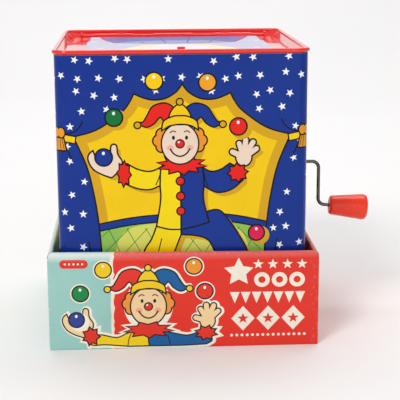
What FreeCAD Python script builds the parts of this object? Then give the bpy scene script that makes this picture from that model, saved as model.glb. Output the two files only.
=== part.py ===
import FreeCAD, Part
import math
import os
import re

import Sketcher

# A tin musical jack in the box standing in its open cardboard tray.
# Millimetres, +Z up, front towards -Y, crank on +X.
# The origin is the centre of the tray's underside, on the tin's upright axis.

DIMENSIONS = [
    # Cardboard tray
    ("tray_width", 151.6, "outside width and depth of the tray"),
    ("tray_height", 56.3, "height of the tray"),
    ("tray_wall", 3.0, "doubled cardboard wall"),
    ("tray_floor", 1.2, "cardboard floor"),
    ("tray_corner", 1.2, "outside radius of the upright corners"),
    # Tinplate box
    ("tin_width", 138.7, "outside width and depth of the tin"),
    ("tin_wall", 0.5, "tinplate with its seams"),
    ("tin_corner", 6.0, "outside radius of the upright corners"),
    ("tin_foot", 1.4, "height of the tin's lower edge"),
    ("tin_top", 164.4, "height of the tin's upper edge"),
    ("bottom_rise", 3.0, "bottom panel above the lower edge"),
    # Pressed frame round the top
    ("rim_width", 141.3, "outside width over the bead"),
    ("rim_top", 167.2, "height of the top of the bead"),
    ("rim_corner", 8.5, "outside radius of the bead's corners"),
    ("bead", 2.5, "diameter of the rolled bead"),
    ("recess_width", 131.8, "width of the sunk ledge"),
    ("ledge_top", 162.25, "height of the ledge"),
    ("opening_side", 51.5, "half width of the opening in the ledge"),
    ("opening_front", 56.0, "opening in front of the axis"),
    ("opening_back", 52.0, "opening behind the axis"),
    # Lid and its hinge
    ("lid_gap", 0.3, "air between the lid and the ledge"),
    ("lid_thick", 1.1, "depth of the lid's hem"),
    ("lid_sheet", 0.5, "lid inside the hem"),
    ("lid_hem", 3.0, "width of the hem"),
    ("lid_side", 54.2, "half width of the lid"),
    ("lid_front", 60.0, "lid in front of the axis"),
    ("lid_back", 55.9, "lid behind the axis"),
    ("lid_corner", 4.0, "corner radius of the lid"),
    ("hinge_back", 57.2, "hinge pin behind the axis"),
    ("hinge_height", 164.1, "height of the hinge pin"),
    ("pin_radius", 0.8, "hinge pin"),
    ("barrel_radius", 1.45, "curled hinge barrel"),
    ("bracket_side", 58.2, "inner face of a hinge bracket"),
    ("bracket_thick", 1.0, "hinge bracket"),
    ("bracket_half", 2.8, "half depth of a hinge bracket"),
    ("barrel_length", 24.0, "each of the lid's three hinge barrels"),
    ("tongue_length", 6.0, "each of the lid's two stop tongues"),
    ("running_gap", 0.06, "radial play of every turning fit"),
    ("stop_angle", 75.0, "slope of the lid's stop tongues when shut"),
    ("stop_reach", 2.7, "stop tongue from the pin's axis"),
    ("tab_width", 4.3, "finger tab"),
    ("tab_top", 167.7, "height of the finger tab"),
    ("tab_thick", 0.4, "finger tab's sheet"),
    ("tab_foot", 50.5, "rear edge of the tab's foot, in front of the axis"),
    ("fitting_place", 53.0, "rivet through the tab and the catch, in front of the axis"),
    ("fitting_rivet", 0.9, "radius of that rivet"),
    ("fitting_head", 1.7, "radius of its two heads"),
    ("head_rise", 0.5, "height of each of its heads"),
    ("catch_half", 3.0, "half width of the catch and the hook"),
    ("catch_thick", 0.6, "catch's strip"),
    ("catch_back", 49.8, "inner face of the catch, in front of the axis"),
    ("catch_foot", 152.0, "height of the catch's lower face"),
    ("catch_reach", 2.6, "length of the catch's foot"),
    # Latch across the inside of the front wall
    ("latch_front", 58.0, "latch shaft in front of the axis"),
    ("latch_height", 142.0, "height of the latch shaft"),
    ("latch_radius", 1.2, "latch shaft"),
    ("latch_hub", 2.4, "hub radius of the hook and the follower"),
    ("follower_side", 62.6, "near face of the follower arm"),
    ("follower_length", 49.0, "follower arm"),
    ("follower_angle", -20.5, "slope of the follower arm"),
    ("follower_thick", 2.0, "follower arm"),
    ("follower_half", 1.5, "half height of the follower arm"),
    ("shaft_start", -10.0, "left end of the latch shaft"),
    ("shaft_end", 65.2, "right end of the latch shaft"),
    ("ear_half", 3.5, "half height of a latch bracket"),
    ("ear_web", 1.5, "web of a latch bracket"),
    ("ear_foot", 0.8, "foot of a latch bracket"),
    ("return_start", 4.8, "first turn of the latch's return spring"),
    ("return_pitch", 0.54, "pitch of its close-wound turns"),
    ("return_wire", 0.36, "radius of its wire"),
    ("return_gap", 0.9, "its wire's centre from the shaft"),
    # Crank
    ("crank_height", 91.2, "height of the crank's axis"),
    ("wire_radius", 1.05, "crank wire"),
    ("crank_bend", 4.1, "bend radius at the wire's centre"),
    ("crank_reach", 86.4, "crank arm from the tin's axis"),
    ("crank_drop", 23.2, "crank axis down to the lower bend's centre"),
    ("crank_inner", 39.8, "inner end of the crank wire"),
    ("bush_wall", 0.95, "wall of the crank's bushing"),
    ("flange_radius", 2.8, "flange of the bushing"),
    ("flange_thick", 0.35, "flange of the bushing"),
    ("clip_radius", 2.6, "clip on the crank's inner end"),
    ("stub_tilt", 4.5, "downward tilt of the stub and knob"),
    ("stub_free", 3.1, "bare wire between the bend and the knob"),
    ("stub_inside", 19.0, "wire inside the knob"),
    ("knob_length", 23.8, "knob"),
    ("knob_small", 5.9, "knob radius at the wire's end"),
    ("knob_large", 7.95, "knob radius at the outer end"),
    # Music movement on the inside of the right wall
    ("plate_thick", 1.5, "movement plates"),
    ("plate_side", 41.5, "inner face of the inner plate"),
    ("plate_front", 41.5, "plates in front of the axis"),
    ("plate_back", 11.0, "plates behind the axis"),
    ("plate_low", 80.0, "lower edge of the plates"),
    ("plate_high", 122.0, "upper edge of the plates"),
    ("post_radius", 2.4, "posts between the plates"),
    ("rivet_radius", 1.2, "rivets through the wall into the posts"),
    ("rivet_depth", 6.0, "rivet inside its post"),
    ("rivet_head", 2.3, "radius of a rivet's head"),
    ("rivet_rise", 0.25, "rivet's head outside the wall"),
    ("gear_module", 0.8, "tooth module"),
    ("pinion_teeth", 12, "teeth on the crank's pinion"),
    ("drum_teeth", 36, "teeth on the drum's gear"),
    ("mesh_angle", 120.0, "direction from the crank's axis to the drum's"),
    ("backlash", 0.24, "play between the teeth"),
    ("axle_radius", 1.2, "drum axle"),
    ("gear_side", 58.2, "near face of the drum's gear"),
    ("gear_width", 3.2, "drum's gear"),
    ("pinion_side", 57.7, "near face of the pinion"),
    ("pinion_width", 4.2, "pinion"),
    ("drum_radius", 10.0, "music drum"),
    ("drum_side", 44.2, "inner end of the drum"),
    ("drum_length", 13.8, "music drum"),
    ("comb_notes", 13, "teeth on the comb"),
    ("comb_pitch", 1.0, "comb tooth pitch"),
    ("comb_height", 107.5, "height of the comb's lower face"),
    ("comb_thick", 0.6, "comb"),
    ("comb_back", 38.0, "back edge of the comb, in front of the axis"),
    ("comb_root", 31.0, "root of the comb's teeth, in front of the axis"),
    ("comb_slot", 0.3, "gap between the comb's teeth"),
    ("screw_place", 35.0, "comb's screws, in front of the axis"),
    ("screw_radius", 1.0, "comb's screws"),
    ("screw_head", 1.9, "radius of their heads"),
    ("screw_depth", 3.5, "screw in the comb's block"),
    ("pin_rise", 0.9, "drum pins above the drum"),
    ("cam_radius", 9.0, "base circle of the release cam"),
    ("lobe_radius", 15.0, "top of the cam's lobe"),
    ("lobe_nose", 2.5, "radius of the lobe's nose"),
    ("lobe_angle", 40.0, "direction of the lobe below the front"),
    ("cam_side", 62.3, "near face of the cam"),
    ("cam_width", 2.4, "cam"),
    # Figure on its spring
    ("figure_side", -4.0, "figure's axis from the tin's axis"),
    ("spring_radius", 20.0, "figure spring at the wire's centre"),
    ("spring_wire", 0.9, "radius of the spring wire"),
    ("spring_pitch", 6.6, "pitch of the pressed-down spring"),
    ("spring_low", 7.0, "height of the spring's first turn"),
    ("spring_height", 59.4, "length of the pressed-down spring"),
    ("skirt_low", 9.5, "height of the costume's hem"),
    ("skirt_high", 70.0, "height of the costume's waist"),
    ("skirt_hem", 37.0, "costume radius at the hem"),
    ("skirt_waist", 31.0, "costume radius at the waist"),
    ("cloth", 2.5, "folded cloth"),
    ("torso_high", 97.0, "height of the shoulders"),
    ("neck_radius", 17.0, "torso radius at the shoulders"),
    ("head_height", 124.0, "height of the head's centre"),
    ("head_radius", 21.5, "head"),
    ("shoulder_side", 28.6, "shoulder from the figure's axis"),
    ("shoulder_height", 91.0, "height of the shoulders' centres"),
    ("shoulder_radius", 5.8, "sleeve at the shoulder"),
    ("wrist_radius", 4.3, "sleeve at the wrist"),
    ("arm_reach", 7.6, "wrist outward from the shoulder"),
    ("arm_drop", 17.0, "wrist below the shoulder"),
    ("hand_radius", 4.2, "hand"),
    ("pompom", 2.9, "pompom"),
    ("nose_radius", 4.2, "nose"),
    ("tuft_radius", 6.3, "tuft of hair"),
    ("hat_inside", 2.6, "hat's horns from the head's surface"),
    ("knee_side", 26.4, "bend of a side horn from the figure's axis"),
    ("knee_height", 150.7, "height of that bend"),
    ("knee_radius", 5.4, "side horn at its bend"),
    ("bell_radius", 3.0, "bell"),
    ("bell_side", 38.6, "side bell from the figure's axis"),
]

doc = FreeCAD.newDocument("jack_in_the_box")
sheet = doc.addObject("Spreadsheet::Sheet", "Dims")
for row, (alias, size, meaning) in enumerate(DIMENSIONS, start=1):
    sheet.set(f"A{row}", meaning)
    sheet.set(f"B{row}", str(size))
    sheet.setAlias(f"B{row}", alias)
doc.recompute()

ALIASES = re.compile(r"\b(" + "|".join(alias for alias, _, _ in DIMENSIONS) + r")\b")
X_AXIS, Y_AXIS, Z_AXIS = (1, 0, 0), (0, 1, 0), (0, 0, 1)
NODES = []


# ---------------------------------------------------------------- helpers

def number(text):
    """The value of a sheet expression."""
    return float(sheet.evalExpression(str(text)))


def bind(item, prop, text):
    """Ties a property to the sheet."""
    item.setExpression(prop, ALIASES.sub(r"Dims.\1", str(text)))


def place(item, at, *turns):
    """Puts an item at a point given by expressions, after turning it about each (axis, degrees) in order."""
    rotation = FreeCAD.Rotation()
    for axis, angle in turns:
        rotation = FreeCAD.Rotation(FreeCAD.Vector(*axis), number(angle)).multiply(rotation)
    item.Placement = FreeCAD.Placement(FreeCAD.Vector(0, 0, 0), rotation)
    for letter, text in zip("xyz", at):
        bind(item, "Placement.Base." + letter, text)
    return item


def solid(kind, at, *turns, **sizes):
    """A Part primitive of expressions."""
    item = doc.addObject("Part::" + kind, kind.lower())
    for prop, text in sizes.items():
        bind(item, prop, text)
    return place(item, at, *turns)


def block(low, high):
    """A box between two corners."""
    sizes = [f"({b}) - ({a})" for a, b in zip(low, high)]
    return solid("Box", low, Length=sizes[0], Width=sizes[1], Height=sizes[2])


def rod_x(radius, start, end, y, z):
    """A cylinder along X."""
    return solid("Cylinder", (start, y, z), (Y_AXIS, 90), Radius=radius, Height=f"({end}) - ({start})")


def rod_z(radius, start, end, x, y):
    """A cylinder along Z."""
    return solid("Cylinder", (x, y, start), Radius=radius, Height=f"({end}) - ({start})")


def ball(radius, x, y, z):
    return solid("Sphere", (x, y, z), Radius=radius)


def fuse(*items):
    item = doc.addObject("Part::MultiFuse", "fuse")
    item.Shapes = list(items)
    return item


def cut(base, *tools):
    item = doc.addObject("Part::Cut", "cut")
    item.Base = base
    item.Tool = tools[0] if len(tools) == 1 else fuse(*tools)
    return item


def node(name, item):
    """Names a finished sub-part."""
    item.Label = name
    NODES.append(item)
    return item


def new_body(at=(0, 0, 0), *turns):
    return place(doc.addObject("PartDesign::Body", "body"), at, *turns)


def new_sketch(body, role, offset=0):
    """A sketch on one of the body's own planes, moved along the plane's normal."""
    sketch = body.newObject("Sketcher::SketchObject", "sketch")
    plane = next(f for f in body.Origin.OriginFeatures if f.Role == role)
    sketch.AttachmentSupport = [(plane, "")]
    sketch.MapMode = "FlatFace"
    bind(sketch, "AttachmentOffset.Base.z", offset)
    return sketch


def hold(sketch, kind, geometry, point, text):
    """Dimensions one point of the sketch from its origin."""
    index = sketch.addConstraint(Sketcher.Constraint(kind, -1, 1, geometry, point, number(text)))
    bind(sketch, f"Constraints[{index}]", text)


def outline(sketch, corners):
    """A closed outline of straight runs between corners given by expressions."""
    first = sketch.GeometryCount
    spots = [FreeCAD.Vector(number(u), number(v), 0) for u, v in corners]
    for start, end in zip(spots, spots[1:] + spots[:1]):
        sketch.addGeometry(Part.LineSegment(start, end), False)
    for i, (u, v) in enumerate(corners):
        before = first + (i - 1) % len(corners)
        sketch.addConstraint(Sketcher.Constraint("Coincident", first + i, 1, before, 2))
        hold(sketch, "DistanceX", first + i, 1, u)
        hold(sketch, "DistanceY", first + i, 1, v)


def circle(sketch, radius, u=0, v=0):
    centre = FreeCAD.Vector(number(u), number(v), 0)
    index = sketch.addGeometry(Part.Circle(centre, FreeCAD.Vector(*Z_AXIS), number(radius)), False)
    hold(sketch, "DistanceX", index, 3, u)
    hold(sketch, "DistanceY", index, 3, v)
    size = sketch.addConstraint(Sketcher.Constraint("Radius", index, number(radius)))
    bind(sketch, f"Constraints[{size}]", radius)


def join(sketch, before, here):
    """Makes one run end where the next begins, with no corner between them."""
    sketch.addConstraint(Sketcher.Constraint("Tangent", before, 2, here, 1))


def rounded_rectangle(sketch, left, right, low, high, radius):
    """A rectangle with round corners, drawn anticlockwise from halfway up its right side."""
    r, a, b, c, d = (number(text) for text in (radius, left, right, low, high))
    middle = (c + d) / 2
    corners = [(b - r, d - r, 0), (a + r, d - r, 90), (a + r, c + r, 180), (b - r, c + r, 270)]
    east, west = f"({right}) - ({radius})", f"({left}) + ({radius})"
    north, south = f"({high}) - ({radius})", f"({low}) + ({radius})"
    centres = [(east, north), (west, north), (west, south), (east, south)]
    last = FreeCAD.Vector(b, middle, 0)
    runs = []
    for u, v, angle in corners:
        full = Part.Circle(FreeCAD.Vector(u, v, 0), FreeCAD.Vector(*Z_AXIS), r)
        arc = Part.ArcOfCircle(full, math.radians(angle), math.radians(angle + 90))
        runs += [Part.LineSegment(last, arc.StartPoint), arc]
        last = arc.EndPoint
    runs.append(Part.LineSegment(last, FreeCAD.Vector(b, middle, 0)))
    first = sketch.GeometryCount
    for run in runs:
        sketch.addGeometry(run, False)
    for i in range(1, len(runs)):
        join(sketch, first + i - 1, first + i)
    for i, (u, v) in enumerate(centres):
        arc = first + 2 * i + 1
        hold(sketch, "DistanceX", arc, 3, u)
        hold(sketch, "DistanceY", arc, 3, v)
        size = sketch.addConstraint(Sketcher.Constraint("Radius", arc, r))
        bind(sketch, f"Constraints[{size}]", radius)
    hold(sketch, "DistanceY", first, 1, f"(({low}) + ({high})) / 2")
    hold(sketch, "DistanceY", first + len(runs) - 1, 2, f"(({low}) + ({high})) / 2")


def square(sketch, half, radius):
    rounded_rectangle(sketch, f"-({half})", half, f"-({half})", half, radius)


def pad(body, sketch, length, taper=0, **flags):
    item = body.newObject("PartDesign::Pad", "pad")
    return extrude(item, sketch, length, taper, flags)


def pocket(body, sketch, length, taper=0, **flags):
    item = body.newObject("PartDesign::Pocket", "pocket")
    return extrude(item, sketch, length, taper, flags)


def extrude(item, sketch, length, taper, flags):
    item.Profile = sketch
    bind(item, "Length", length)
    bind(item, "TaperAngle", taper)
    for flag, setting in flags.items():
        setattr(item, flag, setting)
    sketch.Visibility = False
    return item


def dress(body, kind, base, radius, wanted):
    """A fillet or chamfer on the edges of a feature that pass a test."""
    doc.recompute()
    edges = [f"Edge{i}" for i, edge in enumerate(base.Shape.Edges, start=1) if wanted(edge)]
    item = body.newObject("PartDesign::" + kind, kind.lower())
    item.Base = (base, edges)
    bind(item, "Radius" if kind == "Fillet" else "Size", radius)
    return item


def revolve(body, sketch, axis):
    """A full turn of a sketch about one of its own axes."""
    item = body.newObject("PartDesign::Revolution", "revolution")
    item.Profile = sketch
    item.ReferenceAxis = (sketch, [axis])
    item.Angle = 360
    return item


def at_height(z):
    """A test for edges that lie at one height of their feature."""
    return lambda edge: abs(edge.BoundBox.ZMin - z) < 0.01 and abs(edge.BoundBox.ZMax - z) < 0.01


# ---------------------------------------------------------------- tray and tin

def display_tray():
    body = new_body()
    outside = new_sketch(body, "XY_Plane")
    square(outside, "tray_width / 2", "tray_corner")
    pad(body, outside, "tray_height")
    inside = new_sketch(body, "XY_Plane", "tray_floor")
    square(inside, "tray_width / 2 - tray_wall", "tray_corner / 2")
    hollow = pocket(body, inside, "tray_height", Reversed=True)
    body.Tip = dress(body, "Fillet", hollow, "tray_wall / 2 - 0.05", at_height(number("tray_height")))
    node("display_tray", body)


def tin_body():
    body = new_body()
    outside = new_sketch(body, "XY_Plane", "tin_foot")
    square(outside, "tin_width / 2", "tin_corner")
    pad(body, outside, "tin_top - tin_foot")
    inside = new_sketch(body, "XY_Plane", "tin_foot")
    square(inside, "tin_width / 2 - tin_wall", "tin_corner - tin_wall")
    pocket(body, inside, "tin_top - tin_foot", Reversed=True)
    holes = new_sketch(body, "YZ_Plane", "tin_width / 2 - 2 * tin_wall")
    circle(holes, "wire_radius + bush_wall", 0, "crank_height")
    for y, z in POSTS:
        circle(holes, "rivet_radius", y, z)
    body.Tip = pocket(body, holes, "4 * tin_wall", Reversed=True)
    node("tin_body", body)


def tin_bottom():
    """A pressed panel whose turned-down flange sits inside the tin's lower edge."""
    body = new_body()
    outside = new_sketch(body, "XY_Plane", "tin_foot")
    square(outside, "tin_width / 2 - tin_wall", "tin_corner - tin_wall")
    pad(body, outside, "bottom_rise + tin_wall")
    below = new_sketch(body, "XY_Plane", "tin_foot")
    square(below, "tin_width / 2 - 2 * tin_wall", "tin_corner - 2 * tin_wall")
    body.Tip = pocket(body, below, "bottom_rise", Reversed=True)
    node("tin_bottom", body)


def top_rim():
    """A pressed frame: a rolled bead, a sloping inner wall and a flat ledge with the opening."""
    body = new_body()
    height = "rim_top - bead / 2 - ledge_top"
    slope = number(f"atan((rim_width / 2 - bead / 2 - recess_width / 2) / ({height}))")
    outside = new_sketch(body, "XY_Plane", "ledge_top - tin_wall")
    square(outside, "recess_width / 2", "rim_corner - bead")
    pad(body, outside, f"{height} + tin_wall", taper=slope)
    inside = new_sketch(body, "XY_Plane", "ledge_top")
    square(inside, "recess_width / 2 - tin_wall / 2", "rim_corner - bead")
    pocket(body, inside, f"{height} + 1", taper=slope, Reversed=True)
    opening = new_sketch(body, "XY_Plane", "ledge_top - 1")
    rounded_rectangle(opening, "-opening_side", "opening_side", "-opening_front", "opening_back", "lid_corner")
    pocket(body, opening, "2", Reversed=True)
    path = new_sketch(body, "XY_Plane", "rim_top - bead / 2")
    square(path, "rim_width / 2 - bead / 2", "rim_corner - bead / 2")
    section = new_sketch(body, "XZ_Plane")
    circle(section, "bead / 2", "rim_width / 2 - bead / 2", "rim_top - bead / 2")
    bead = body.newObject("PartDesign::AdditivePipe", "bead")
    bead.Profile = section
    bead.Spine = path
    body.Tip = bead
    node("top_rim", body)


# ---------------------------------------------------------------- lid and hinge

def hinge():
    """The fixed half of the lid's hinge: two ears on the ledge and the pin between them."""
    ends = ("-bracket_side - bracket_thick - 0.8", "bracket_side + bracket_thick + 0.8")
    node("hinge_pin", rod_x("pin_radius", *ends, "hinge_back", "hinge_height"))
    ears = []
    for side in ("-bracket_side - bracket_thick", "bracket_side"):
        low = (side, "hinge_back - bracket_half", "ledge_top")
        high = (f"{side} + bracket_thick", "hinge_back + bracket_half", "hinge_height + 2")
        ears.append(block(low, high))
    bore = rod_x("pin_radius", "-rim_width / 2", "rim_width / 2", "hinge_back", "hinge_height")
    node("hinge_brackets", cut(fuse(*ears), bore))


def lid():
    """The lid with its curled hinge barrel and two stop tongues."""
    bottom = "ledge_top + lid_gap"
    body = new_body()
    plan = new_sketch(body, "XY_Plane", bottom)
    rounded_rectangle(plan, "-lid_side", "lid_side", "-lid_front", "lid_back", "lid_corner")
    plate = pad(body, plan, "lid_thick")
    top = number(f"{bottom} + lid_thick")
    dress(body, "Fillet", plate, "lid_thick * 0.45", at_height(top))
    below = new_sketch(body, "XY_Plane", bottom)
    rounded_rectangle(below, "lid_hem - lid_side", "lid_side - lid_hem", "lid_hem - lid_front",
                      "lid_back - lid_hem", "lid_corner / 2")
    body.Tip = pocket(body, below, "lid_thick - lid_sheet", Reversed=True)
    pieces = [body]
    for start in ("-50", "-barrel_length / 2", "50 - barrel_length"):
        end = f"{start} + barrel_length"
        pieces.append(rod_x("barrel_radius", start, end, "hinge_back", "hinge_height"))
        web_low = (start, "lid_back - 2", bottom)
        web_high = (end, "hinge_back - pin_radius - 0.1", f"{bottom} + lid_thick")
        pieces.append(block(web_low, web_high))
    for start in ("-30 - tongue_length", "30"):
        tongue = solid("Box", (start, "hinge_back", "hinge_height"), (X_AXIS, "stop_angle"),
                       Length="tongue_length", Width="stop_reach", Height="tin_wall")
        pieces.append(tongue)
    bore = rod_x("pin_radius + running_gap", "-lid_side", "lid_side", "hinge_back", "hinge_height")
    rivet_hole = rod_z("fitting_rivet", bottom, f"{bottom} + 2 * lid_thick", 0, "-fitting_place")
    node("lid_panel", cut(fuse(*pieces), bore, rivet_hole))


def lid_fittings():
    """The finger tab on the lid, the catch under it and the rivet through both."""
    top = "ledge_top + lid_gap + lid_thick"
    under_face = f"{top} - lid_sheet"
    half = "tab_width / 2"
    rivet = (0, "-fitting_place")
    foot_top = f"{top} + tab_thick"
    foot = block((f"-{half}", "-lid_front - 0.5", top), (half, "-tab_foot", foot_top))
    upright = block((f"-{half}", "-lid_front - 0.5", top), (half, "-lid_front - 0.5 + tab_thick", "tab_top"))
    node("lid_tab", cut(fuse(foot, upright), rod_z("fitting_rivet", top, f"{top} + 1", *rivet)))
    plate_low = f"{under_face} - catch_thick"
    plate = block(("-catch_half", "-opening_front + 0.5", plate_low), ("catch_half", "-catch_back", under_face))
    strip = block(("-catch_half", "-catch_back - catch_thick", "catch_foot"),
                  ("catch_half", "-catch_back", under_face))
    toe = block(("-catch_half", "-catch_back - catch_reach", "catch_foot"),
                ("catch_half", "-catch_back", "catch_foot + catch_thick"))
    hole = rod_z("fitting_rivet", f"{under_face} - 2", under_face, *rivet)
    node("lid_catch", cut(fuse(plate, strip, toe), hole))
    shank = rod_z("fitting_rivet", plate_low, foot_top, *rivet)
    upper_head = rod_z("fitting_head", foot_top, f"{foot_top} + head_rise", *rivet)
    lower_head = rod_z("fitting_head", f"{plate_low} - head_rise", plate_low, *rivet)
    node("lid_rivet", fuse(shank, upper_head, lower_head))


# ---------------------------------------------------------------- latch

# turns of the latch's return spring
RETURN_TURNS = 15


def latch():
    """The shaft across the front, its hook, its brackets and its close-wound return spring."""
    axis = ("-latch_front", "latch_height")
    node("latch_shaft", rod_x("latch_radius", "shaft_start", "shaft_end", *axis))
    hub = rod_x("latch_hub", "-catch_half", "catch_half", *axis)
    finger_top = "catch_foot + 1.7"
    arm = block(("-catch_half", "-latch_front - catch_thick", "latch_height"),
                ("catch_half", "-latch_front + catch_thick", finger_top))
    finger = block(("-catch_half", "-latch_front", "catch_foot + 0.9"),
                   ("catch_half", "-catch_back - 1.4", finger_top))
    bore = rod_x("latch_radius", "-catch_half - 1", "catch_half + 1", *axis)
    node("latch_hook", cut(fuse(hub, arm, finger), bore))
    follower()
    ears = []
    wall = "-tin_width / 2 + tin_wall"
    low, high = "latch_height - ear_half", "latch_height + ear_half"
    for start, foot_end in (("-9", "-1"), ("56", "63")):
        ears.append(block((start, wall, low), (f"{start} + ear_web", "-latch_front + 2 * latch_radius", high)))
        ears.append(block((start, wall, low), (foot_end, f"{wall} + ear_foot", high)))
    bore = rod_x("latch_radius + running_gap", "shaft_start - 1", "shaft_end + 1", *axis)
    node("latch_brackets", cut(fuse(*ears), bore))
    turns = [solid("Torus", (f"return_start + {turn} * return_pitch", "-latch_front", "latch_height"),
                   (Y_AXIS, 90), Radius1="latch_radius + return_gap", Radius2="return_wire")
             for turn in range(RETURN_TURNS)]
    node("latch_spring", fuse(*turns))


def follower():
    """The arm that lies over the release cam."""
    body = new_body(("follower_side", "-latch_front", "latch_height"), (X_AXIS, "follower_angle"))
    bar = new_sketch(body, "YZ_Plane")
    rounded_rectangle(bar, "-latch_hub", "follower_length", "-follower_half", "follower_half",
                      "follower_half - 0.1")
    pad(body, bar, "follower_thick")
    hub = new_sketch(body, "YZ_Plane")
    circle(hub, "latch_hub")
    pad(body, hub, "follower_thick")
    bore = new_sketch(body, "YZ_Plane")
    circle(bore, "latch_radius")
    body.Tip = pocket(body, bore, "follower_thick + 1", Reversed=True)
    node("latch_follower", body)


def coil(radius, wire, pitch, height):
    """A round-wire coil standing on the origin along Z."""
    helix = doc.addObject("Part::Helix", "helix")
    bind(helix, "Pitch", pitch)
    bind(helix, "Height", height)
    bind(helix, "Radius", radius)
    section = doc.addObject("Part::Circle", "section")
    bind(section, "Radius", wire)
    place(section, (radius, 0, 0), (X_AXIS, 90))
    doc.recompute()
    sweep = doc.addObject("Part::Sweep", "coil")
    sweep.Sections = [section]
    sweep.Spine = (helix, [f"Edge{i}" for i in range(1, len(helix.Shape.Edges) + 1)])
    sweep.Solid = True
    sweep.Frenet = True
    return sweep


# ---------------------------------------------------------------- crank

def crank():
    """One bent wire: through the wall, down the arm and out again, tilted a little down."""
    wire, bend = "wire_radius", "crank_bend"
    arm_top = f"crank_height - {bend}"
    arm_low = "crank_height - crank_drop"
    stub_x = f"crank_reach + {bend} * (1 - sin(stub_tilt))"
    stub_z = f"{arm_low} - {bend} * cos(stub_tilt)"
    shaft = rod_x(wire, "crank_inner", f"crank_reach - {bend}", 0, "crank_height")
    upper = solid("Torus", (f"crank_reach - {bend}", 0, arm_top), (X_AXIS, 90),
                  Radius1=bend, Radius2=wire, Angle3="90")
    arm = rod_z(wire, arm_low, arm_top, "crank_reach", 0)
    lower = solid("Torus", (f"crank_reach + {bend}", 0, arm_low), (X_AXIS, 90), (Y_AXIS, -180),
                  Radius1=bend, Radius2=wire, Angle3="90 - stub_tilt")
    stub = solid("Cylinder", (stub_x, 0, stub_z), (Y_AXIS, "90 + stub_tilt"),
                 Radius=wire, Height="stub_free + stub_inside")
    node("crank_rod", fuse(shaft, upper, arm, lower, stub))
    clip = rod_x("clip_radius", "plate_side - 1.3", "plate_side - 0.3", 0, "crank_height")
    clip_bore = rod_x(wire, "plate_side - 2", "plate_side", 0, "crank_height")
    node("crank_clip", cut(clip, clip_bore))
    knob(f"{stub_x} + stub_free * cos(stub_tilt)", f"{stub_z} - stub_free * sin(stub_tilt)")


def knob(x, z):
    """A tapered handle with a domed outer end, turned about its own length."""
    body = new_body((x, 0, z), (Y_AXIS, "stub_tilt"))
    profile = new_sketch(body, "XZ_Plane")
    outline(profile, [
        (0, "wire_radius + running_gap"), (0, "knob_small - 1.3"), ("0.4", "knob_small - 0.4"),
        ("1.3", "knob_small"), ("knob_length - 3", "knob_large"), ("knob_length - 1.3", "knob_large - 0.5"),
        ("knob_length - 0.6", "knob_large - 1.6"), ("knob_length - 0.1", "knob_large / 2"), ("knob_length", 0),
        ("stub_inside + 0.8", 0), ("stub_inside + 0.8", "wire_radius + running_gap"),
    ])
    body.Tip = revolve(body, profile, "H_Axis")
    node("crank_knob", body)


# ---------------------------------------------------------------- music movement

POSTS = [("7", "84"), ("7", "118.5"), ("-38", "84"), ("-38", "118.5")]
SPACING = "gear_module * (pinion_teeth + drum_teeth) / 2"
DRUM_Y = f"{SPACING} * cos(mesh_angle)"
DRUM_Z = f"crank_height + {SPACING} * sin(mesh_angle)"
WALL_INSIDE = "tin_width / 2 - tin_wall"
OUTER_PLATE = f"{WALL_INSIDE} - plate_thick"


def tooth_gap(teeth, centre_angle):
    """The corners of one gap between involute teeth, from the root out past the tips."""
    module, play = number("gear_module"), number("backlash")
    pitch_radius = module * teeth / 2
    base_radius = pitch_radius * math.cos(math.radians(20))
    root_radius = pitch_radius - 1.25 * module
    tip_radius = pitch_radius + module

    def roll(radius):
        angle = math.acos(min(1, base_radius / radius))
        return math.tan(angle) - angle

    half_gap = math.pi / (2 * teeth) + play / (2 * pitch_radius) / 2
    start = max(base_radius, root_radius)
    steps = 4
    radii = [root_radius] + [start + (tip_radius - start) * i / steps for i in range(steps + 1)]
    flank = [(r, half_gap - roll(pitch_radius) + roll(max(r, base_radius))) for r in radii]
    flank.append((tip_radius + 0.6, flank[-1][1]))
    corners = []
    for side, points in ((-1, reversed(flank)), (1, flank)):
        for radius, half in points:
            angle = math.radians(centre_angle) + side * half
            corners.append((round(radius * math.cos(angle), 5), round(radius * math.sin(angle), 5)))
    return corners


def gear(name, alias, centre_angle, at, width, bore):
    body = new_body(at)
    teeth = int(number(alias))
    disc = new_sketch(body, "YZ_Plane")
    circle(disc, f"gear_module * ({alias} / 2 + 1)")
    circle(disc, bore)
    pad(body, disc, width)
    gap = new_sketch(body, "YZ_Plane")
    outline(gap, tooth_gap(teeth, centre_angle))
    first = pocket(body, gap, width, Reversed=True)
    doc.recompute()
    pattern = body.newObject("PartDesign::PolarPattern", "teeth")
    pattern.Originals = [first]
    pattern.Axis = (gap, ["N_Axis"])
    pattern.Angle = 360
    bind(pattern, "Occurrences", alias)
    body.Tip = pattern
    node(name, body)


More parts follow.
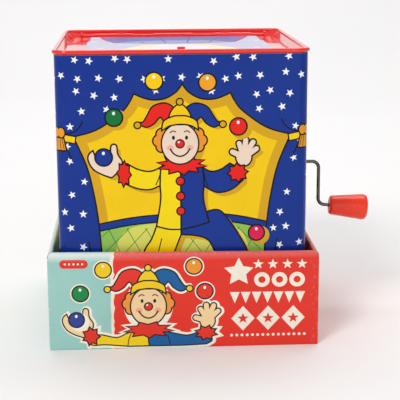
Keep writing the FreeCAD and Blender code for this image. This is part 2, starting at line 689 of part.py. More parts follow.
def movement_frame():
    """Two plates held apart by four posts, riveted to the wall."""
    for name, start, hole in (("movement_plate_outer", OUTER_PLATE, "wire_radius + bush_wall"),
                              ("movement_plate_inner", "plate_side", "wire_radius + running_gap")):
        body = new_body((start, 0, 0))
        plan = new_sketch(body, "YZ_Plane")
        rounded_rectangle(plan, "-plate_front", "plate_back", "plate_low", "plate_high", "3")
        circle(plan, hole, 0, "crank_height")
        circle(plan, "axle_radius + running_gap", DRUM_Y, DRUM_Z)
        if name.endswith("outer"):
            for y, z in POSTS:
                circle(plan, "rivet_radius", y, z)
        body.Tip = pad(body, plan, "plate_thick")
        node(name, body)
    posts, rivets, bores = [], [], []
    for y, z in POSTS:
        posts.append(rod_x("post_radius", "plate_side + plate_thick", OUTER_PLATE, y, z))
        bores.append(rod_x("rivet_radius", f"{OUTER_PLATE} - rivet_depth", OUTER_PLATE, y, z))
        rivets.append(rod_x("rivet_radius", f"{OUTER_PLATE} - rivet_depth", "tin_width / 2", y, z))
        rivets.append(rod_x("rivet_head", "tin_width / 2", "tin_width / 2 + rivet_rise", y, z))
    node("movement_posts", cut(fuse(*posts), fuse(*bores)))
    node("movement_rivets", fuse(*rivets))


def crank_bushing():
    tube = rod_x("wire_radius + bush_wall", OUTER_PLATE, "tin_width / 2", 0, "crank_height")
    flange = rod_x("flange_radius", "tin_width / 2", "tin_width / 2 + flange_thick", 0, "crank_height")
    bore = rod_x("wire_radius + running_gap", OUTER_PLATE, "tin_width / 2 + 1", 0, "crank_height")
    node("crank_bushing", cut(fuse(tube, flange), bore))


def music_drum():
    """The drum with its tune: one row of pins for each tooth of the comb."""
    start, length = number("drum_side"), number("drum_length")
    radius, rise = number("drum_radius"), number("pin_rise")
    notes, pitch = int(number("comb_notes")), number("comb_pitch")
    y, z = number(DRUM_Y), number(DRUM_Z)
    along = FreeCAD.Vector(*X_AXIS)
    centre = FreeCAD.Vector(start, y, z)
    drum = Part.makeCylinder(radius, length, centre, along)
    pins = []
    for row in range(notes):
        x = start + (length - (notes - 1) * pitch) / 2 + row * pitch
        for beat in range(3):
            angle = math.radians(137.5 * row + 120 * beat + 31 * (row * beat % 3))
            outward = FreeCAD.Vector(0, math.cos(angle), math.sin(angle))
            foot = FreeCAD.Vector(x, y, z) + outward * (radius - 0.5)
            pins.append(Part.makeCylinder(0.3, rise + 0.5, foot, outward))
    bore = Part.makeCylinder(number("axle_radius"), length, centre, along)
    item = doc.addObject("Part::Feature", "drum")
    item.Shape = drum.multiFuse(pins).cut(bore)
    node("music_drum", item)


def drum_train():
    axis = (DRUM_Y, DRUM_Z)
    node("drum_axle", rod_x("axle_radius", "plate_side - 0.6", f"{WALL_INSIDE} - 0.2", *axis))
    at = ("gear_side", DRUM_Y, DRUM_Z)
    gear("drum_gear", "drum_teeth", number("mesh_angle") + 180, at, "gear_width", "axle_radius")
    pinion_phase = number("mesh_angle + 180 / pinion_teeth")
    at = ("pinion_side", 0, "crank_height")
    gear("crank_pinion", "pinion_teeth", pinion_phase, at, "pinion_width", "wire_radius")
    music_drum()
    faces = ("cam_side", "cam_side + cam_width")
    disc = rod_x("cam_radius", *faces, *axis)
    nose_y = f"{DRUM_Y} - (lobe_radius - lobe_nose) * cos(lobe_angle)"
    nose_z = f"{DRUM_Z} - (lobe_radius - lobe_nose) * sin(lobe_angle)"
    nose = rod_x("lobe_nose", *faces, nose_y, nose_z)
    corner = (f"{DRUM_Y} - lobe_nose * sin(lobe_angle)", f"{DRUM_Z} + lobe_nose * cos(lobe_angle)")
    neck = solid("Box", ("cam_side", *corner), (X_AXIS, "180 + lobe_angle"),
                 Length="cam_width", Width="lobe_radius - lobe_nose", Height="2 * lobe_nose")
    bore = rod_x("axle_radius", "cam_side - 1", "cam_side + 4", *axis)
    node("release_cam", cut(fuse(disc, nose, neck), bore))


def comb():
    """A steel comb screwed to a block between the plates, its tips just clear of the drum's pins."""
    tips = f"{DRUM_Y} - drum_radius - pin_rise - 0.4"
    rest, top = "comb_height", "comb_height + comb_thick"
    base = block(("plate_side + plate_thick", "-comb_back - 0.5", f"{rest} - 4.5"),
                 ("58", "-comb_root - 0.5", rest))
    places = ("47", "54.4")
    shanks = [rod_z("screw_radius", f"{rest} - screw_depth", top, x, "-screw_place") for x in places]
    heads = [rod_z("screw_head", top, f"{top} + 1", x, "-screw_place") for x in places]
    bores = [rod_z("screw_radius", f"{rest} - screw_depth", f"{rest} + 2", x, "-screw_place") for x in places]
    node("comb_block", cut(base, fuse(*bores)))
    node("comb_screws", fuse(*shanks, *heads))
    body = new_body()
    plan = new_sketch(body, "XY_Plane", rest)
    first = "drum_side + (drum_length - comb_notes * comb_pitch) / 2"
    outline(plan, [(first, "-comb_back"), (f"{first} + comb_notes * comb_pitch", "-comb_back"),
                   (f"{first} + comb_notes * comb_pitch", tips), (first, tips)])
    for x in places:
        circle(plan, "screw_radius", x, "-screw_place")
    pad(body, plan, "comb_thick")
    slot = new_sketch(body, "XY_Plane", rest)
    near, far = (f"{first} + comb_pitch {sign} comb_slot / 2" for sign in "-+")
    outline(slot, [(near, "-comb_root"), (far, "-comb_root"), (far, f"{tips} + 1"), (near, f"{tips} + 1")])
    cut_one = pocket(body, slot, "1", Reversed=True)
    doc.recompute()
    pattern = body.newObject("PartDesign::LinearPattern", "slots")
    pattern.Originals = [cut_one]
    pattern.Direction = (slot, ["H_Axis"])
    bind(pattern, "Length", "(comb_notes - 2) * comb_pitch")
    bind(pattern, "Occurrences", "comb_notes - 1")
    body.Tip = pattern
    node("music_comb", body)


# ---------------------------------------------------------------- figure

def turned(x, profile):
    """A solid turned about an upright axis, from (radius, height) corners."""
    body = new_body((x, 0, 0))
    half = new_sketch(body, "XZ_Plane")
    outline(half, profile)
    body.Tip = revolve(body, half, "V_Axis")
    return body


def spring_parts():
    panel = "tin_foot + bottom_rise + tin_wall"
    lip = "spring_radius + spring_wire + 3"
    node("spring_cup", turned("figure_side", [
        (0, panel), (f"{lip} + 0.8", panel), (f"{lip} + 0.8", f"{panel} + 4"), (lip, f"{panel} + 4"),
        (lip, f"{panel} + 0.8"), (0, f"{panel} + 0.8"),
    ]))
    spring = coil("spring_radius", "spring_wire", "spring_pitch", "spring_height")
    node("figure_spring", place(spring, ("figure_side", 0, "spring_low")))
    disc = rod_z("spring_radius + spring_wire + 2.6", "skirt_high - 1.8", "skirt_high - 0.3", "figure_side", 0)
    node("spring_disc", cut(disc, rod_z("4", "skirt_high - 3", "skirt_high + 1", "figure_side", 0)))


def costume():
    node("costume_skirt", turned("figure_side", [
        ("skirt_hem - cloth", "skirt_low"), ("skirt_hem", "skirt_low"),
        ("skirt_waist", "skirt_high"), ("skirt_waist - cloth", "skirt_high"),
    ]))
    node("costume_torso", turned("figure_side", [
        (0, "skirt_high + 0.4"), ("skirt_waist - 1", "skirt_high + 0.4"), ("skirt_waist - 2", "skirt_high + 8"),
        ("neck_radius + 4", "torso_high - 5"), ("neck_radius", "torso_high"), (0, "torso_high"),
    ]))
    node("collar_ruff", turned("figure_side", [
        (0, "torso_high + 0.2"), ("24", "torso_high + 0.2"), ("27", "torso_high + 2.3"),
        ("24", "torso_high + 4.4"), (0, "torso_high + 4.4"),
    ]))
    reach, drop = number("arm_reach"), number("arm_drop")
    lean, length = math.degrees(math.atan2(reach, drop)), math.hypot(reach, drop)
    for name, side in (("left", -1), ("right", 1)):
        shoulder = f"figure_side + {side} * shoulder_side"
        arm = solid("Cone", (shoulder, 0, "shoulder_height"), (X_AXIS, 180), (Y_AXIS, -side * lean),
                    Radius1="shoulder_radius", Radius2="wrist_radius", Height=length)
        node(f"sleeve_{name}", fuse(arm, ball("shoulder_radius", shoulder, 0, "shoulder_height")))
        palm = f"({length} + wrist_radius)"
        hand_x = f"{shoulder} + {side} * {palm} * sin({lean})"
        node(f"hand_{name}", ball("hand_radius", hand_x, 0, f"shoulder_height - {palm} * cos({lean})"))
    upper, lower = ("-26", "90.5"), ("-31.8", "79")
    node("pompoms", fuse(ball("pompom", "figure_side", *upper), ball("pompom", "figure_side", *lower)))


def head():
    """Head with its nose, hair and three-horned hat with bells."""
    at = ("figure_side", 0, "head_height")
    neck = rod_z("7", "torso_high + 4.6", "torso_high + 10", "figure_side", 0)
    node("head", fuse(ball("head_radius", *at), neck))
    node("nose", ball("nose_radius", "figure_side", "-head_radius - nose_radius - 0.1", "head_height - 2"))
    beside = "(head_radius + tuft_radius + 0.1)"
    tufts = [ball("tuft_radius", f"figure_side + {side} * {beside}", 0, "head_height - 2")
             for side in (-1, 1)]
    node("hair_tufts", fuse(*tufts))
    cap_low = "head_height + 10"
    dome = cut(ball("head_radius + 2.5", *at), ball("head_radius + 0.3", *at),
               block(("figure_side - 30", "-30", "90"), ("figure_side + 30", "30", cap_low)))
    node("hat_cap", dome)
    inside = "head_radius + hat_inside"
    horns = []
    for name, side in (("hat_horn_left", -1), ("hat_horn_right", 1)):
        bend = (f"figure_side + {side} * knee_side", 0, "knee_height")
        rise = solid("Cone", (f"figure_side + {side} * 6", 0, "142.5"), (Y_AXIS, 68 * side),
                     Radius1="8", Radius2="knee_radius", Height="22")
        fall = solid("Cone", bend, (Y_AXIS, 138 * side), Radius1="knee_radius", Radius2="2.4", Height="15.4")
        horns.append(node(name, cut(fuse(rise, ball("knee_radius", *bend), fall), ball(inside, *at))))
    front = solid("Cone", ("figure_side", "-2", "145"), (X_AXIS, 62),
                  Radius1="7", Radius2="bell_radius", Height="18")
    node("hat_horn_front", cut(front, ball(inside, *at), *horns))
    bells = [ball("bell_radius", f"figure_side + {side} * bell_side", 0, "136.5") for side in (-1, 1)]
    bells.append(ball("bell_radius", "figure_side", "-20.8", "154.9"))
    node("hat_bells", fuse(*bells))


# ---------------------------------------------------------------- build and write

def build():
    display_tray()
    tin_body()
    tin_bottom()
    top_rim()
    hinge()
    lid()
    lid_fittings()
    latch()
    crank()
    crank_bushing()
    movement_frame()
    drum_train()
    comb()
    spring_parts()
    costume()
    head()
    doc.recompute()


def check():
    """Stops before anything is written if an object failed or a sub-part isn't a sound solid."""
    for item in doc.Objects:
        if {"Invalid", "Error"} & set(item.State):
            raise RuntimeError(f"{item.Name} ({item.Label}) failed: {item.State}")
        if item.TypeId == "PartDesign::Pocket" and item.BaseFeature.Shape.Volume - item.Shape.Volume < 0.01:
            raise RuntimeError(f"{item.Name} cuts nothing")
    for item in NODES:
        if item.Shape.isNull() or not item.Shape.isValid() or not item.Shape.Solids:
            raise RuntimeError(f"{item.Label} isn't a valid solid")


def write():
    os.makedirs("parts", exist_ok=True)
    for item in NODES:
        item.Shape.exportStep(f"parts/{item.Label}.step")
        box = item.Shape.BoundBox
        print(f"{item.Label:22s} solids {len(item.Shape.Solids):2d} volume {item.Shape.Volume:10.1f}"
              f"  x {box.XMin:7.2f} {box.XMax:7.2f}  y {box.YMin:7.2f} {box.YMax:7.2f}"
              f"  z {box.ZMin:7.2f} {box.ZMax:7.2f}")


build()
check()
write()
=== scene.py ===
import math
import random

import bpy
import numpy as np
from mathutils import Matrix, Vector
from mathutils.geometry import delaunay_2d_cdt


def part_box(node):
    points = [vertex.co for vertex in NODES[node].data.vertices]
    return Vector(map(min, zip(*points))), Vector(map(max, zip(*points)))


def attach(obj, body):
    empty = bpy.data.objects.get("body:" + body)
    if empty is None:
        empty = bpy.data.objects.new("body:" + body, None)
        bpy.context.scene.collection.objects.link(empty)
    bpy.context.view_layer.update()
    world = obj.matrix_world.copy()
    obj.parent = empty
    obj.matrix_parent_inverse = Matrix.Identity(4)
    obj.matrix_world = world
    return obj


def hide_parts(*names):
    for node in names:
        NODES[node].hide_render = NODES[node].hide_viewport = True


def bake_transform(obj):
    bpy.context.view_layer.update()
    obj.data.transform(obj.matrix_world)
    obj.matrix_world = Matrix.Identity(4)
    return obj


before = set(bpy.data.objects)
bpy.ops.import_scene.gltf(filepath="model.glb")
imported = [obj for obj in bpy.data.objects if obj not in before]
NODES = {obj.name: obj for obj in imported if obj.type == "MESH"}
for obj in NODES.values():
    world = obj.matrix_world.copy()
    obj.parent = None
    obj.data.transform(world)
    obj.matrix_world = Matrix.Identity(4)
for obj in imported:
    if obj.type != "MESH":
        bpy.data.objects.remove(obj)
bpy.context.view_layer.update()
MM = 0.001


# ------------------------------------------------------------ materials

def linear(colour):
    """An sRGB colour of 0 to 255 as linear light."""
    share = [c / 255 for c in colour]
    return tuple(c / 12.92 if c <= 0.04045 else ((c + 0.055) / 1.055) ** 2.4 for c in share) + (1.0,)


def shade(colour, factor):
    """The same colour lighter or darker."""
    return tuple(min(255, c * factor) for c in colour)


class Paint:
    """One node material. Each method adds a node and returns its output."""

    def __init__(self, name, **fixed):
        self.material = bpy.data.materials.new(name)
        self.material.use_nodes = True
        tree = self.material.node_tree
        self.nodes, self.links = tree.nodes, tree.links
        self.shader = self.nodes["Principled BSDF"]
        for key, value in fixed.items():
            self.shader.inputs[key.replace("_", " ")].default_value = value
        self.at = self.nodes.new("ShaderNodeTexCoord").outputs["Object"]

    def feed(self, socket, value):
        """Links an output to a socket, or sets its number or colour."""
        if isinstance(value, bpy.types.NodeSocket):
            self.links.new(value, socket)
        else:
            socket.default_value = value

    def stretched(self, scale, turn=(0, 0, 0)):
        """Object coordinates scaled per axis, for grain and brushing."""
        node = self.nodes.new("ShaderNodeMapping")
        node.inputs["Scale"].default_value = scale
        node.inputs["Rotation"].default_value = turn
        self.links.new(self.at, node.inputs["Vector"])
        return node.outputs["Vector"]

    def noise(self, scale, detail=4, rough=0.5, at=None, warp=0.0):
        """Cloudy noise of 0 to 1."""
        node = self.nodes.new("ShaderNodeTexNoise")
        node.inputs["Scale"].default_value = scale
        node.inputs["Detail"].default_value = detail
        node.inputs["Roughness"].default_value = rough
        node.inputs["Distortion"].default_value = warp
        self.links.new(at or self.at, node.inputs["Vector"])
        return node.outputs["Fac"]

    def cells(self, scale):
        """Distance to the nearest of many scattered dots."""
        node = self.nodes.new("ShaderNodeTexVoronoi")
        node.inputs["Scale"].default_value = scale
        self.links.new(self.at, node.inputs["Vector"])
        return node.outputs["Distance"]

    def waves(self, scale, warp, direction):
        """Soft parallel bands across one axis."""
        node = self.nodes.new("ShaderNodeTexWave")
        node.bands_direction = direction
        node.inputs["Scale"].default_value = scale
        node.inputs["Distortion"].default_value = warp
        self.links.new(self.at, node.inputs["Vector"])
        return node.outputs["Fac"]

    def ramp(self, factor, *stops):
        """Colour stops (place, colour) in sRGB, or (place, number)."""
        node = self.nodes.new("ShaderNodeValToRGB")
        line = node.color_ramp
        while len(line.elements) < len(stops):
            line.elements.new(0.5)
        for element, (place, value) in zip(line.elements, stops):
            element.position = place
            element.color = (value, value, value, 1) if isinstance(value, (int, float)) else linear(value)
        self.links.new(factor, node.inputs["Fac"])
        return node.outputs["Color"]

    def tint(self, factor, colour, dark, light):
        """A colour that wanders between two of its shades."""
        return self.mix(factor, linear(shade(colour, dark)), linear(shade(colour, light)))

    def mix(self, factor, first, second, kind="MIX"):
        """Two colours blended by a factor."""
        node = self.nodes.new("ShaderNodeMix")
        node.data_type = "RGBA"
        node.blend_type = kind
        for key, value in (("Factor_Float", factor), ("A_Color", first), ("B_Color", second)):
            self.feed(next(s for s in node.inputs if s.identifier == key), value)
        return next(s for s in node.outputs if s.identifier == "Result_Color")

    def sum(self, kind, first, second=0.0):
        """Arithmetic on one or two values."""
        node = self.nodes.new("ShaderNodeMath")
        node.operation = kind
        self.feed(node.inputs[0], first)
        self.feed(node.inputs[1], second)
        return node.outputs[0]

    def axis(self, letter):
        """One of the object coordinates, in metres."""
        node = self.nodes.new("ShaderNodeSeparateXYZ")
        self.links.new(self.at, node.inputs[0])
        return node.outputs[letter]

    def bump(self, height, depth, strength=1.0):
        """Surface relief; depth in metres. Calls stack."""
        node = self.nodes.new("ShaderNodeBump")
        node.inputs["Strength"].default_value = strength
        node.inputs["Distance"].default_value = depth
        self.links.new(height, node.inputs["Height"])
        before = self.shader.inputs["Normal"].links
        if before:
            self.links.new(before[0].from_socket, node.inputs["Normal"])
        self.links.new(node.outputs["Normal"], self.shader.inputs["Normal"])

    def set(self, key, value):
        """Feeds an input of the shader."""
        self.feed(self.shader.inputs[key], value)


def litho(name, colour, gloss=0.24):
    """Ink printed on tinplate under clear varnish: cloudy ink, a fine dot screen and hair scratches."""
    p = Paint(name, Coat_Weight=0.1, Coat_Roughness=0.12, Specular_IOR_Level=0.18)
    cloud = p.noise(45, 5, 0.6)
    dots = p.cells(2300)
    ink = p.tint(cloud, colour, 0.95, 1.05)
    screen = p.ramp(dots, (0.25, 0.965), (0.5, 1.0))
    p.set("Base Color", p.mix(1.0, ink, screen, "MULTIPLY"))
    scratch = p.noise(1, 2, 0.5, p.stretched((500, 500, 90), (0.5, 0.3, 0)))
    p.set("Roughness", p.ramp(scratch, (0.3, gloss + 0.02), (0.6, gloss)))
    p.bump(p.noise(260, 3), 0.00001, 0.5)
    p.bump(p.noise(38, 1), 0.0001, 0.35)
    return p.material


# Heights in metres of the painted highlight on the tray's top fold, where its top edge wears, and the reach
# of its worn corners.
FOLD_HIGHLIGHT = (0.0527, 0.0531, 0.0545, 0.0558)
EDGE_WEAR, CORNER_WEAR = (0.0540, 0.0568), (0.0736, 0.0756)


def card(name, colour, gloss=0.34, crease=0.3):
    """Ink on coated board: fibre mottle under a satin varnish, a painted highlight along the top fold as
    strong as crease, and scuffs along the top fold and the corners.
    """
    p = Paint(name, Coat_Weight=0.12, Coat_Roughness=0.24, Specular_IOR_Level=0.3)
    cloud = p.noise(38, 5, 0.6)
    fibre = p.noise(1500, 3, 0.7)
    ink = p.tint(cloud, colour, 0.94, 1.05)
    ink = p.mix(1.0, ink, p.ramp(fibre, (0.3, 0.95), (0.7, 1.0)), "MULTIPLY")
    # Painted highlight: over the top fold the ink is mixed towards white, as far as crease gives; then scuffs
    # of wear near the top edge and the corners.
    if crease:
        pale = (0.0, crease, crease * 1.3, crease * 0.5)
        creased = p.ramp(p.axis("Z"), *zip(FOLD_HIGHLIGHT, pale))
        ink = p.mix(creased, ink, linear((255, 250, 250)))
        near_fold = p.ramp(p.axis("Z"), (EDGE_WEAR[0], 0.0), (EDGE_WEAR[1], 1.0))
        nearer = p.sum("MINIMUM", p.sum("ABSOLUTE", p.axis("X")), p.sum("ABSOLUTE", p.axis("Y")))
        near_corner = p.ramp(nearer, (CORNER_WEAR[0], 0.0), (CORNER_WEAR[1], 1.0))
        edge = p.sum("MAXIMUM", near_fold, near_corner)
        flecks = p.ramp(p.noise(420, 4, 0.7), (0.56, 0.0), (0.66, 1.0))
        scuff = p.sum("MULTIPLY", p.sum("MULTIPLY", edge, flecks), 0.55)
        ink = p.mix(scuff, ink, linear((243, 236, 226)))
    p.set("Base Color", ink)
    p.set("Roughness", p.ramp(p.noise(90, 4), (0.3, gloss), (0.7, gloss + 0.14)))
    p.bump(p.noise(1200, 3, 0.7), 0.00004, 0.35)
    p.bump(p.noise(24, 2), 0.0006, 0.35)
    return p.material


def board(name, colour):
    """Raw grey board with fibres and flecks."""
    p = Paint(name, Specular_IOR_Level=0.2)
    fibre = p.noise(1, 4, 0.6, p.stretched((300, 1500, 700)))
    flecks = p.ramp(p.noise(900, 2), (0.66, 1.0), (0.72, 0.8))
    pulp = p.tint(fibre, colour, 0.86, 1.06)
    p.set("Base Color", p.mix(1.0, pulp, flecks, "MULTIPLY"))
    p.set("Roughness", p.ramp(fibre, (0.2, 0.75), (0.8, 0.95)))
    p.bump(fibre, 0.00008, 0.6)
    return p.material


def enamel(name, colour, gloss=0.16):
    """Sprayed enamel on pressed steel: orange peel, faint dust and a hard coat."""
    p = Paint(name, Coat_Weight=0.9, Coat_Roughness=0.025, Coat_IOR=1.5, Specular_IOR_Level=0.2)
    cloud = p.noise(30, 4)
    p.set("Base Color", p.tint(cloud, colour, 0.96, 1.04))
    p.set("Roughness", p.ramp(p.noise(420, 4, 0.7), (0.4, gloss), (0.75, gloss + 0.12)))
    p.bump(p.noise(480, 2), 0.00001, 0.35)
    p.bump(p.noise(40, 1), 0.00006, 0.3)
    return p.material


def metal(name, colour, rough=0.28, grain=(900, 40, 900), stain=0.18, pure=1.0):
    """Bare or plated metal: rolling or drawing lines, fingerprints and dull patches."""
    p = Paint(name, Metallic=pure)
    lines = p.noise(1, 3, 0.6, p.stretched(grain))
    patches = p.noise(110, 5, 0.6, warp=0.6)
    p.set("Base Color", p.mix(patches, linear(shade(colour, 1 - stain)), linear(colour)))
    dull = p.ramp(patches, (0.35, rough + 0.14), (0.65, rough))
    p.set("Roughness", p.mix(0.35, dull, p.ramp(lines, (0.3, rough - 0.08), (0.7, rough + 0.12))))
    p.bump(lines, 0.00002, 0.5)
    return p.material


def plastic(name, colour, rough=0.3, depth=0.0, coat=0.2):
    """Moulded plastic: slight flow marks, handling haze and fine texture."""
    p = Paint(name, Subsurface_Weight=depth, Subsurface_Radius=(0.004, 0.002, 0.001),
              Subsurface_Scale=0.5, Coat_Weight=coat, Coat_Roughness=0.12)
    flow = p.noise(60, 3, 0.5, warp=1.2)
    p.set("Base Color", p.tint(flow, colour, 0.95, 1.04))
    p.set("Roughness", p.ramp(p.noise(300, 4, 0.6), (0.35, rough), (0.7, rough + 0.08)))
    p.bump(p.noise(900, 2, 0.5), 0.00001, 0.3)
    return p.material


def woven(name, colour, pitch=0.0006):
    """Plain-weave cotton: crossed threads, slubs, a little fuzz and faded folds."""
    p = Paint(name, Sheen_Weight=0.35, Sheen_Roughness=0.4, Specular_IOR_Level=0.25)
    turns = 1 / pitch / 2
    warp, weft, across = (p.waves(turns, 1.2, axis) for axis in "XZY")
    threads = p.sum("MULTIPLY", p.sum("ADD", warp, across), weft)
    slub = p.noise(1, 3, 0.6, p.stretched((260, 260, 2600)))
    cloth = p.tint(p.ramp(threads, (0.1, 0.2), (0.9, 1.0)), colour, 0.74, 1.05)
    fade = p.ramp(p.noise(70, 4), (0.4, 0.0), (0.8, 0.16))
    cloth = p.mix(fade, cloth, linear(shade(colour, 1.25)))
    p.set("Base Color", p.mix(1.0, cloth, p.ramp(slub, (0.3, 0.9), (0.7, 1.0)), "MULTIPLY"))
    p.set("Roughness", p.ramp(slub, (0.2, 0.72), (0.8, 0.9)))
    p.bump(threads, pitch * 0.35, 0.7)
    p.bump(p.noise(160, 4), 0.0004, 0.5)
    return p.material


def felt(name, colour, fluff=1.0):
    """Pressed or teased wool: matted fibres, soft edges and mottled dye."""
    p = Paint(name, Sheen_Weight=0.6, Sheen_Roughness=0.5, Specular_IOR_Level=0.15)
    fibre = p.noise(1, 5, 0.75, p.stretched((1300, 700, 1100), (0.4, 0.7, 0.2)), warp=2.5)
    clumps = p.noise(210, 4, 0.6, warp=1.0)
    wool = p.tint(fibre, colour, 0.66, 1.16)
    p.set("Base Color", p.mix(1.0, wool, p.ramp(clumps, (0.3, 0.84), (0.7, 1.0)), "MULTIPLY"))
    p.set("Roughness", p.ramp(fibre, (0.2, 0.82), (0.8, 0.97)))
    p.bump(fibre, 0.0003 * fluff, 0.7)
    p.bump(clumps, 0.0009 * fluff, 0.5)
    return p.material


def vinyl(name, colour, blush=None):
    """Soft painted vinyl: warm depth, mould texture and uneven spray."""
    p = Paint(name, Subsurface_Weight=0.25, Subsurface_Radius=(0.006, 0.002, 0.001),
              Subsurface_Scale=0.6, Coat_Weight=0.08, Coat_Roughness=0.3)
    spray = p.noise(85, 4, 0.6)
    p.set("Base Color", p.mix(spray, linear(shade(colour, 0.965)), linear(blush or shade(colour, 1.02))))
    p.set("Roughness", p.ramp(p.noise(500, 4, 0.6), (0.3, 0.36), (0.7, 0.5)))
    p.bump(p.noise(1100, 3, 0.6), 0.00004, 0.4)
    p.bump(p.noise(130, 2), 0.0002, 0.3)
    return p.material


# ------------------------------------------------------------ mesh tools

def make_mesh(name, points, faces, materials, ink=None, soft=True, normals=None):
    """A mesh object from points in metres. ink gives the number of each face's material."""
    mesh = bpy.data.meshes.new(name)
    mesh.from_pydata([tuple(p) for p in points], [], faces)
    for m in materials:
        mesh.materials.append(m)
    if ink:
        mesh.polygons.foreach_set("material_index", ink)
    mesh.polygons.foreach_set("use_smooth", [soft] * len(faces))
    mesh.update()
    if normals:
        mesh.normals_split_custom_set_from_vertices([tuple(n) for n in normals])
    thing = bpy.data.objects.new(name, mesh)
    bpy.context.scene.collection.objects.link(thing)
    return thing


def smooth(points, closed=True, steps=5):
    """A curve through the points. A point given twice is a sharp corner."""
    runs, run = [], [points[0]]
    for before, point in zip(points, points[1:]):
        if point == before:
            runs.append(run)
            run = [point]
        else:
            run.append(point)
    runs.append(run)
    if closed and len(runs) == 1 and points[0] != points[-1]:
        ring = runs[0]
        return [spline(ring[i - 1], ring[i], ring[(i + 1) % len(ring)], ring[(i + 2) % len(ring)], s / steps)
                for i in range(len(ring)) for s in range(steps)]
    out = []
    for run in runs:
        for i in range(len(run) - 1):
            around = (run[max(i - 1, 0)], run[i], run[i + 1], run[min(i + 2, len(run) - 1)])
            out += [spline(*around, s / steps) for s in range(steps)]
        out.append(run[-1])
    return out


def spline(a, b, c, d, t):
    """Catmull-Rom from b to c."""
    return tuple(0.5 * (2 * q + (r - p) * t + (2 * p - 5 * q + 4 * r - s) * t * t
                        + (3 * q - p - 3 * r + s) * t ** 3) for p, q, r, s in zip(a, b, c, d))


def circle(x, y, r, ry=None, count=28, turn=0.0):
    """A circle or an oval."""
    ry = r if ry is None else ry
    c, s = math.cos(turn), math.sin(turn)
    ring = [(r * math.cos(math.tau * i / count), ry * math.sin(math.tau * i / count)) for i in range(count)]
    return [(x + c * u - s * v, y + s * u + c * v) for u, v in ring]


def star(x, y, r, turn=0.0, points=5, waist=0.42):
    """A pointed star."""
    ring = range(points * 2)
    return [(x + (r if i % 2 == 0 else r * waist) * math.sin(turn + math.pi * i / points),
             y + (r if i % 2 == 0 else r * waist) * math.cos(turn + math.pi * i / points)) for i in ring]


def inside(points, x, y):
    """True if x, y is inside the outline."""
    hit = False
    for (ax, ay), (bx, by) in zip(points, points[1:] + points[:1]):
        if (ay > y) != (by > y) and x < ax + (y - ay) * (bx - ax) / (by - ay):
            hit = not hit
    return hit


def gap(points, x, y):
    """Distance from x, y to the nearest point of a dense outline."""
    return min(math.hypot(ax - x, ay - y) for ax, ay in points)


class Print:
    """Flat printed art in millimetres. Later shapes cover earlier ones, and build cuts one sheet of it."""

    def __init__(self, left, low, right, top, ink):
        self.points, self.lines, self.shapes = [], [], []
        self.left, self.low, self.right, self.top = left, low, right, top
        self.fill([(left, low), (right, low), (right, top), (left, top)], ink)

    def clip(self, point):
        """The point moved onto the sheet."""
        x, y = point[0], point[1]
        return (min(max(x, self.left), self.right), min(max(y, self.low), self.top))

    def fill(self, points, ink):
        """A flat shape without outline."""
        clipped = [self.clip(p) for p in points]
        ring = [p for p, q in zip(clipped, clipped[1:] + clipped[:1]) if math.dist(p, q) > 0.004]
        if len(ring) < 3:
            return
        start, count = len(self.points), len(ring)
        self.points += [Vector(p) for p in ring]
        self.lines += [(start + i, start + (i + 1) % count) for i in range(count)]
        self.shapes.append((np.array(ring), ink))

    def stroke(self, points, width, ink="black", closed=False):
        """A line of even width, as one short piece per step."""
        ring = [p for p, q in zip(points, points[1:] + points[:1]) if math.dist(p, q) > 0.004]
        count = len(ring)
        if count < 2:
            return
        sides = []
        for i, (x, y) in enumerate(ring):
            before = ring[i - 1] if i or closed else ring[i]
            after = ring[(i + 1) % count] if i + 1 < count or closed else ring[i]
            first = unit(x - before[0], y - before[1])
            second = unit(after[0] - x, after[1] - y)
            first, second = (first if any(first) else second), (second if any(second) else first)
            tx, ty = unit(first[0] + second[0], first[1] + second[1])
            reach = width / 2 / max(0.5, abs(tx * second[0] + ty * second[1]))
            sides.append(((x - ty * reach, y + tx * reach), (x + ty * reach, y - tx * reach)))
        last = count if closed else count - 1
        for i in range(last):
            (a, b), (c, d) = sides[i], sides[(i + 1) % count]
            self.fill([a, c, d, b], ink)

    def shape(self, points, ink, line=0.9, edge="black"):
        """A flat shape with an outline."""
        self.fill(points, ink)
        if line:
            self.stroke(points, line, edge, True)

    def group(self, shapes, ink, line=0.9, edge="black"):
        """Several shapes joined under one outline."""
        for points in shapes:
            self.stroke(points, line * 2, edge, True)
        for points in shapes:
            self.fill(points, ink)

    def guide(self, *lines):
        """Extra cuts, so that the sheet can bend there."""
        for a, b in lines:
            self.lines.append((len(self.points), len(self.points) + 1))
            self.points += [Vector(a), Vector(b)]

    def build(self, name, inks, place):
        """Cuts the art into triangles, drops the holes, and lays it on the surface that place gives."""
        flat, _, faces, _, _, _ = delaunay_2d_cdt(self.points, self.lines, [], 0, 1e-5, False)
        middles = np.array([[sum(flat[i][k] for i in face) / 3 for k in (0, 1)] for face in faces])
        top = np.zeros(len(faces), int)
        for number, (ring, _) in enumerate(self.shapes):
            low, high = ring.min(0), ring.max(0)
            near = np.nonzero(((middles > low) & (middles < high)).all(1))[0]
            if len(near):
                top[near[winding(ring, middles[near]) != 0]] = number
        names = sorted({ink for _, ink in self.shapes if ink != "hole"})
        kept = [i for i in range(len(faces)) if self.shapes[top[i]][1] != "hole"]
        ink = [names.index(self.shapes[top[i]][1]) for i in kept]
        kept = [faces[i] for i in kept]
        laid = [place(v.x, v.y) for v in flat]
        return make_mesh(name, [[c * MM for c in p] for p, _ in laid], kept, [inks[n] for n in names],
                         ink, normals=[n for _, n in laid])


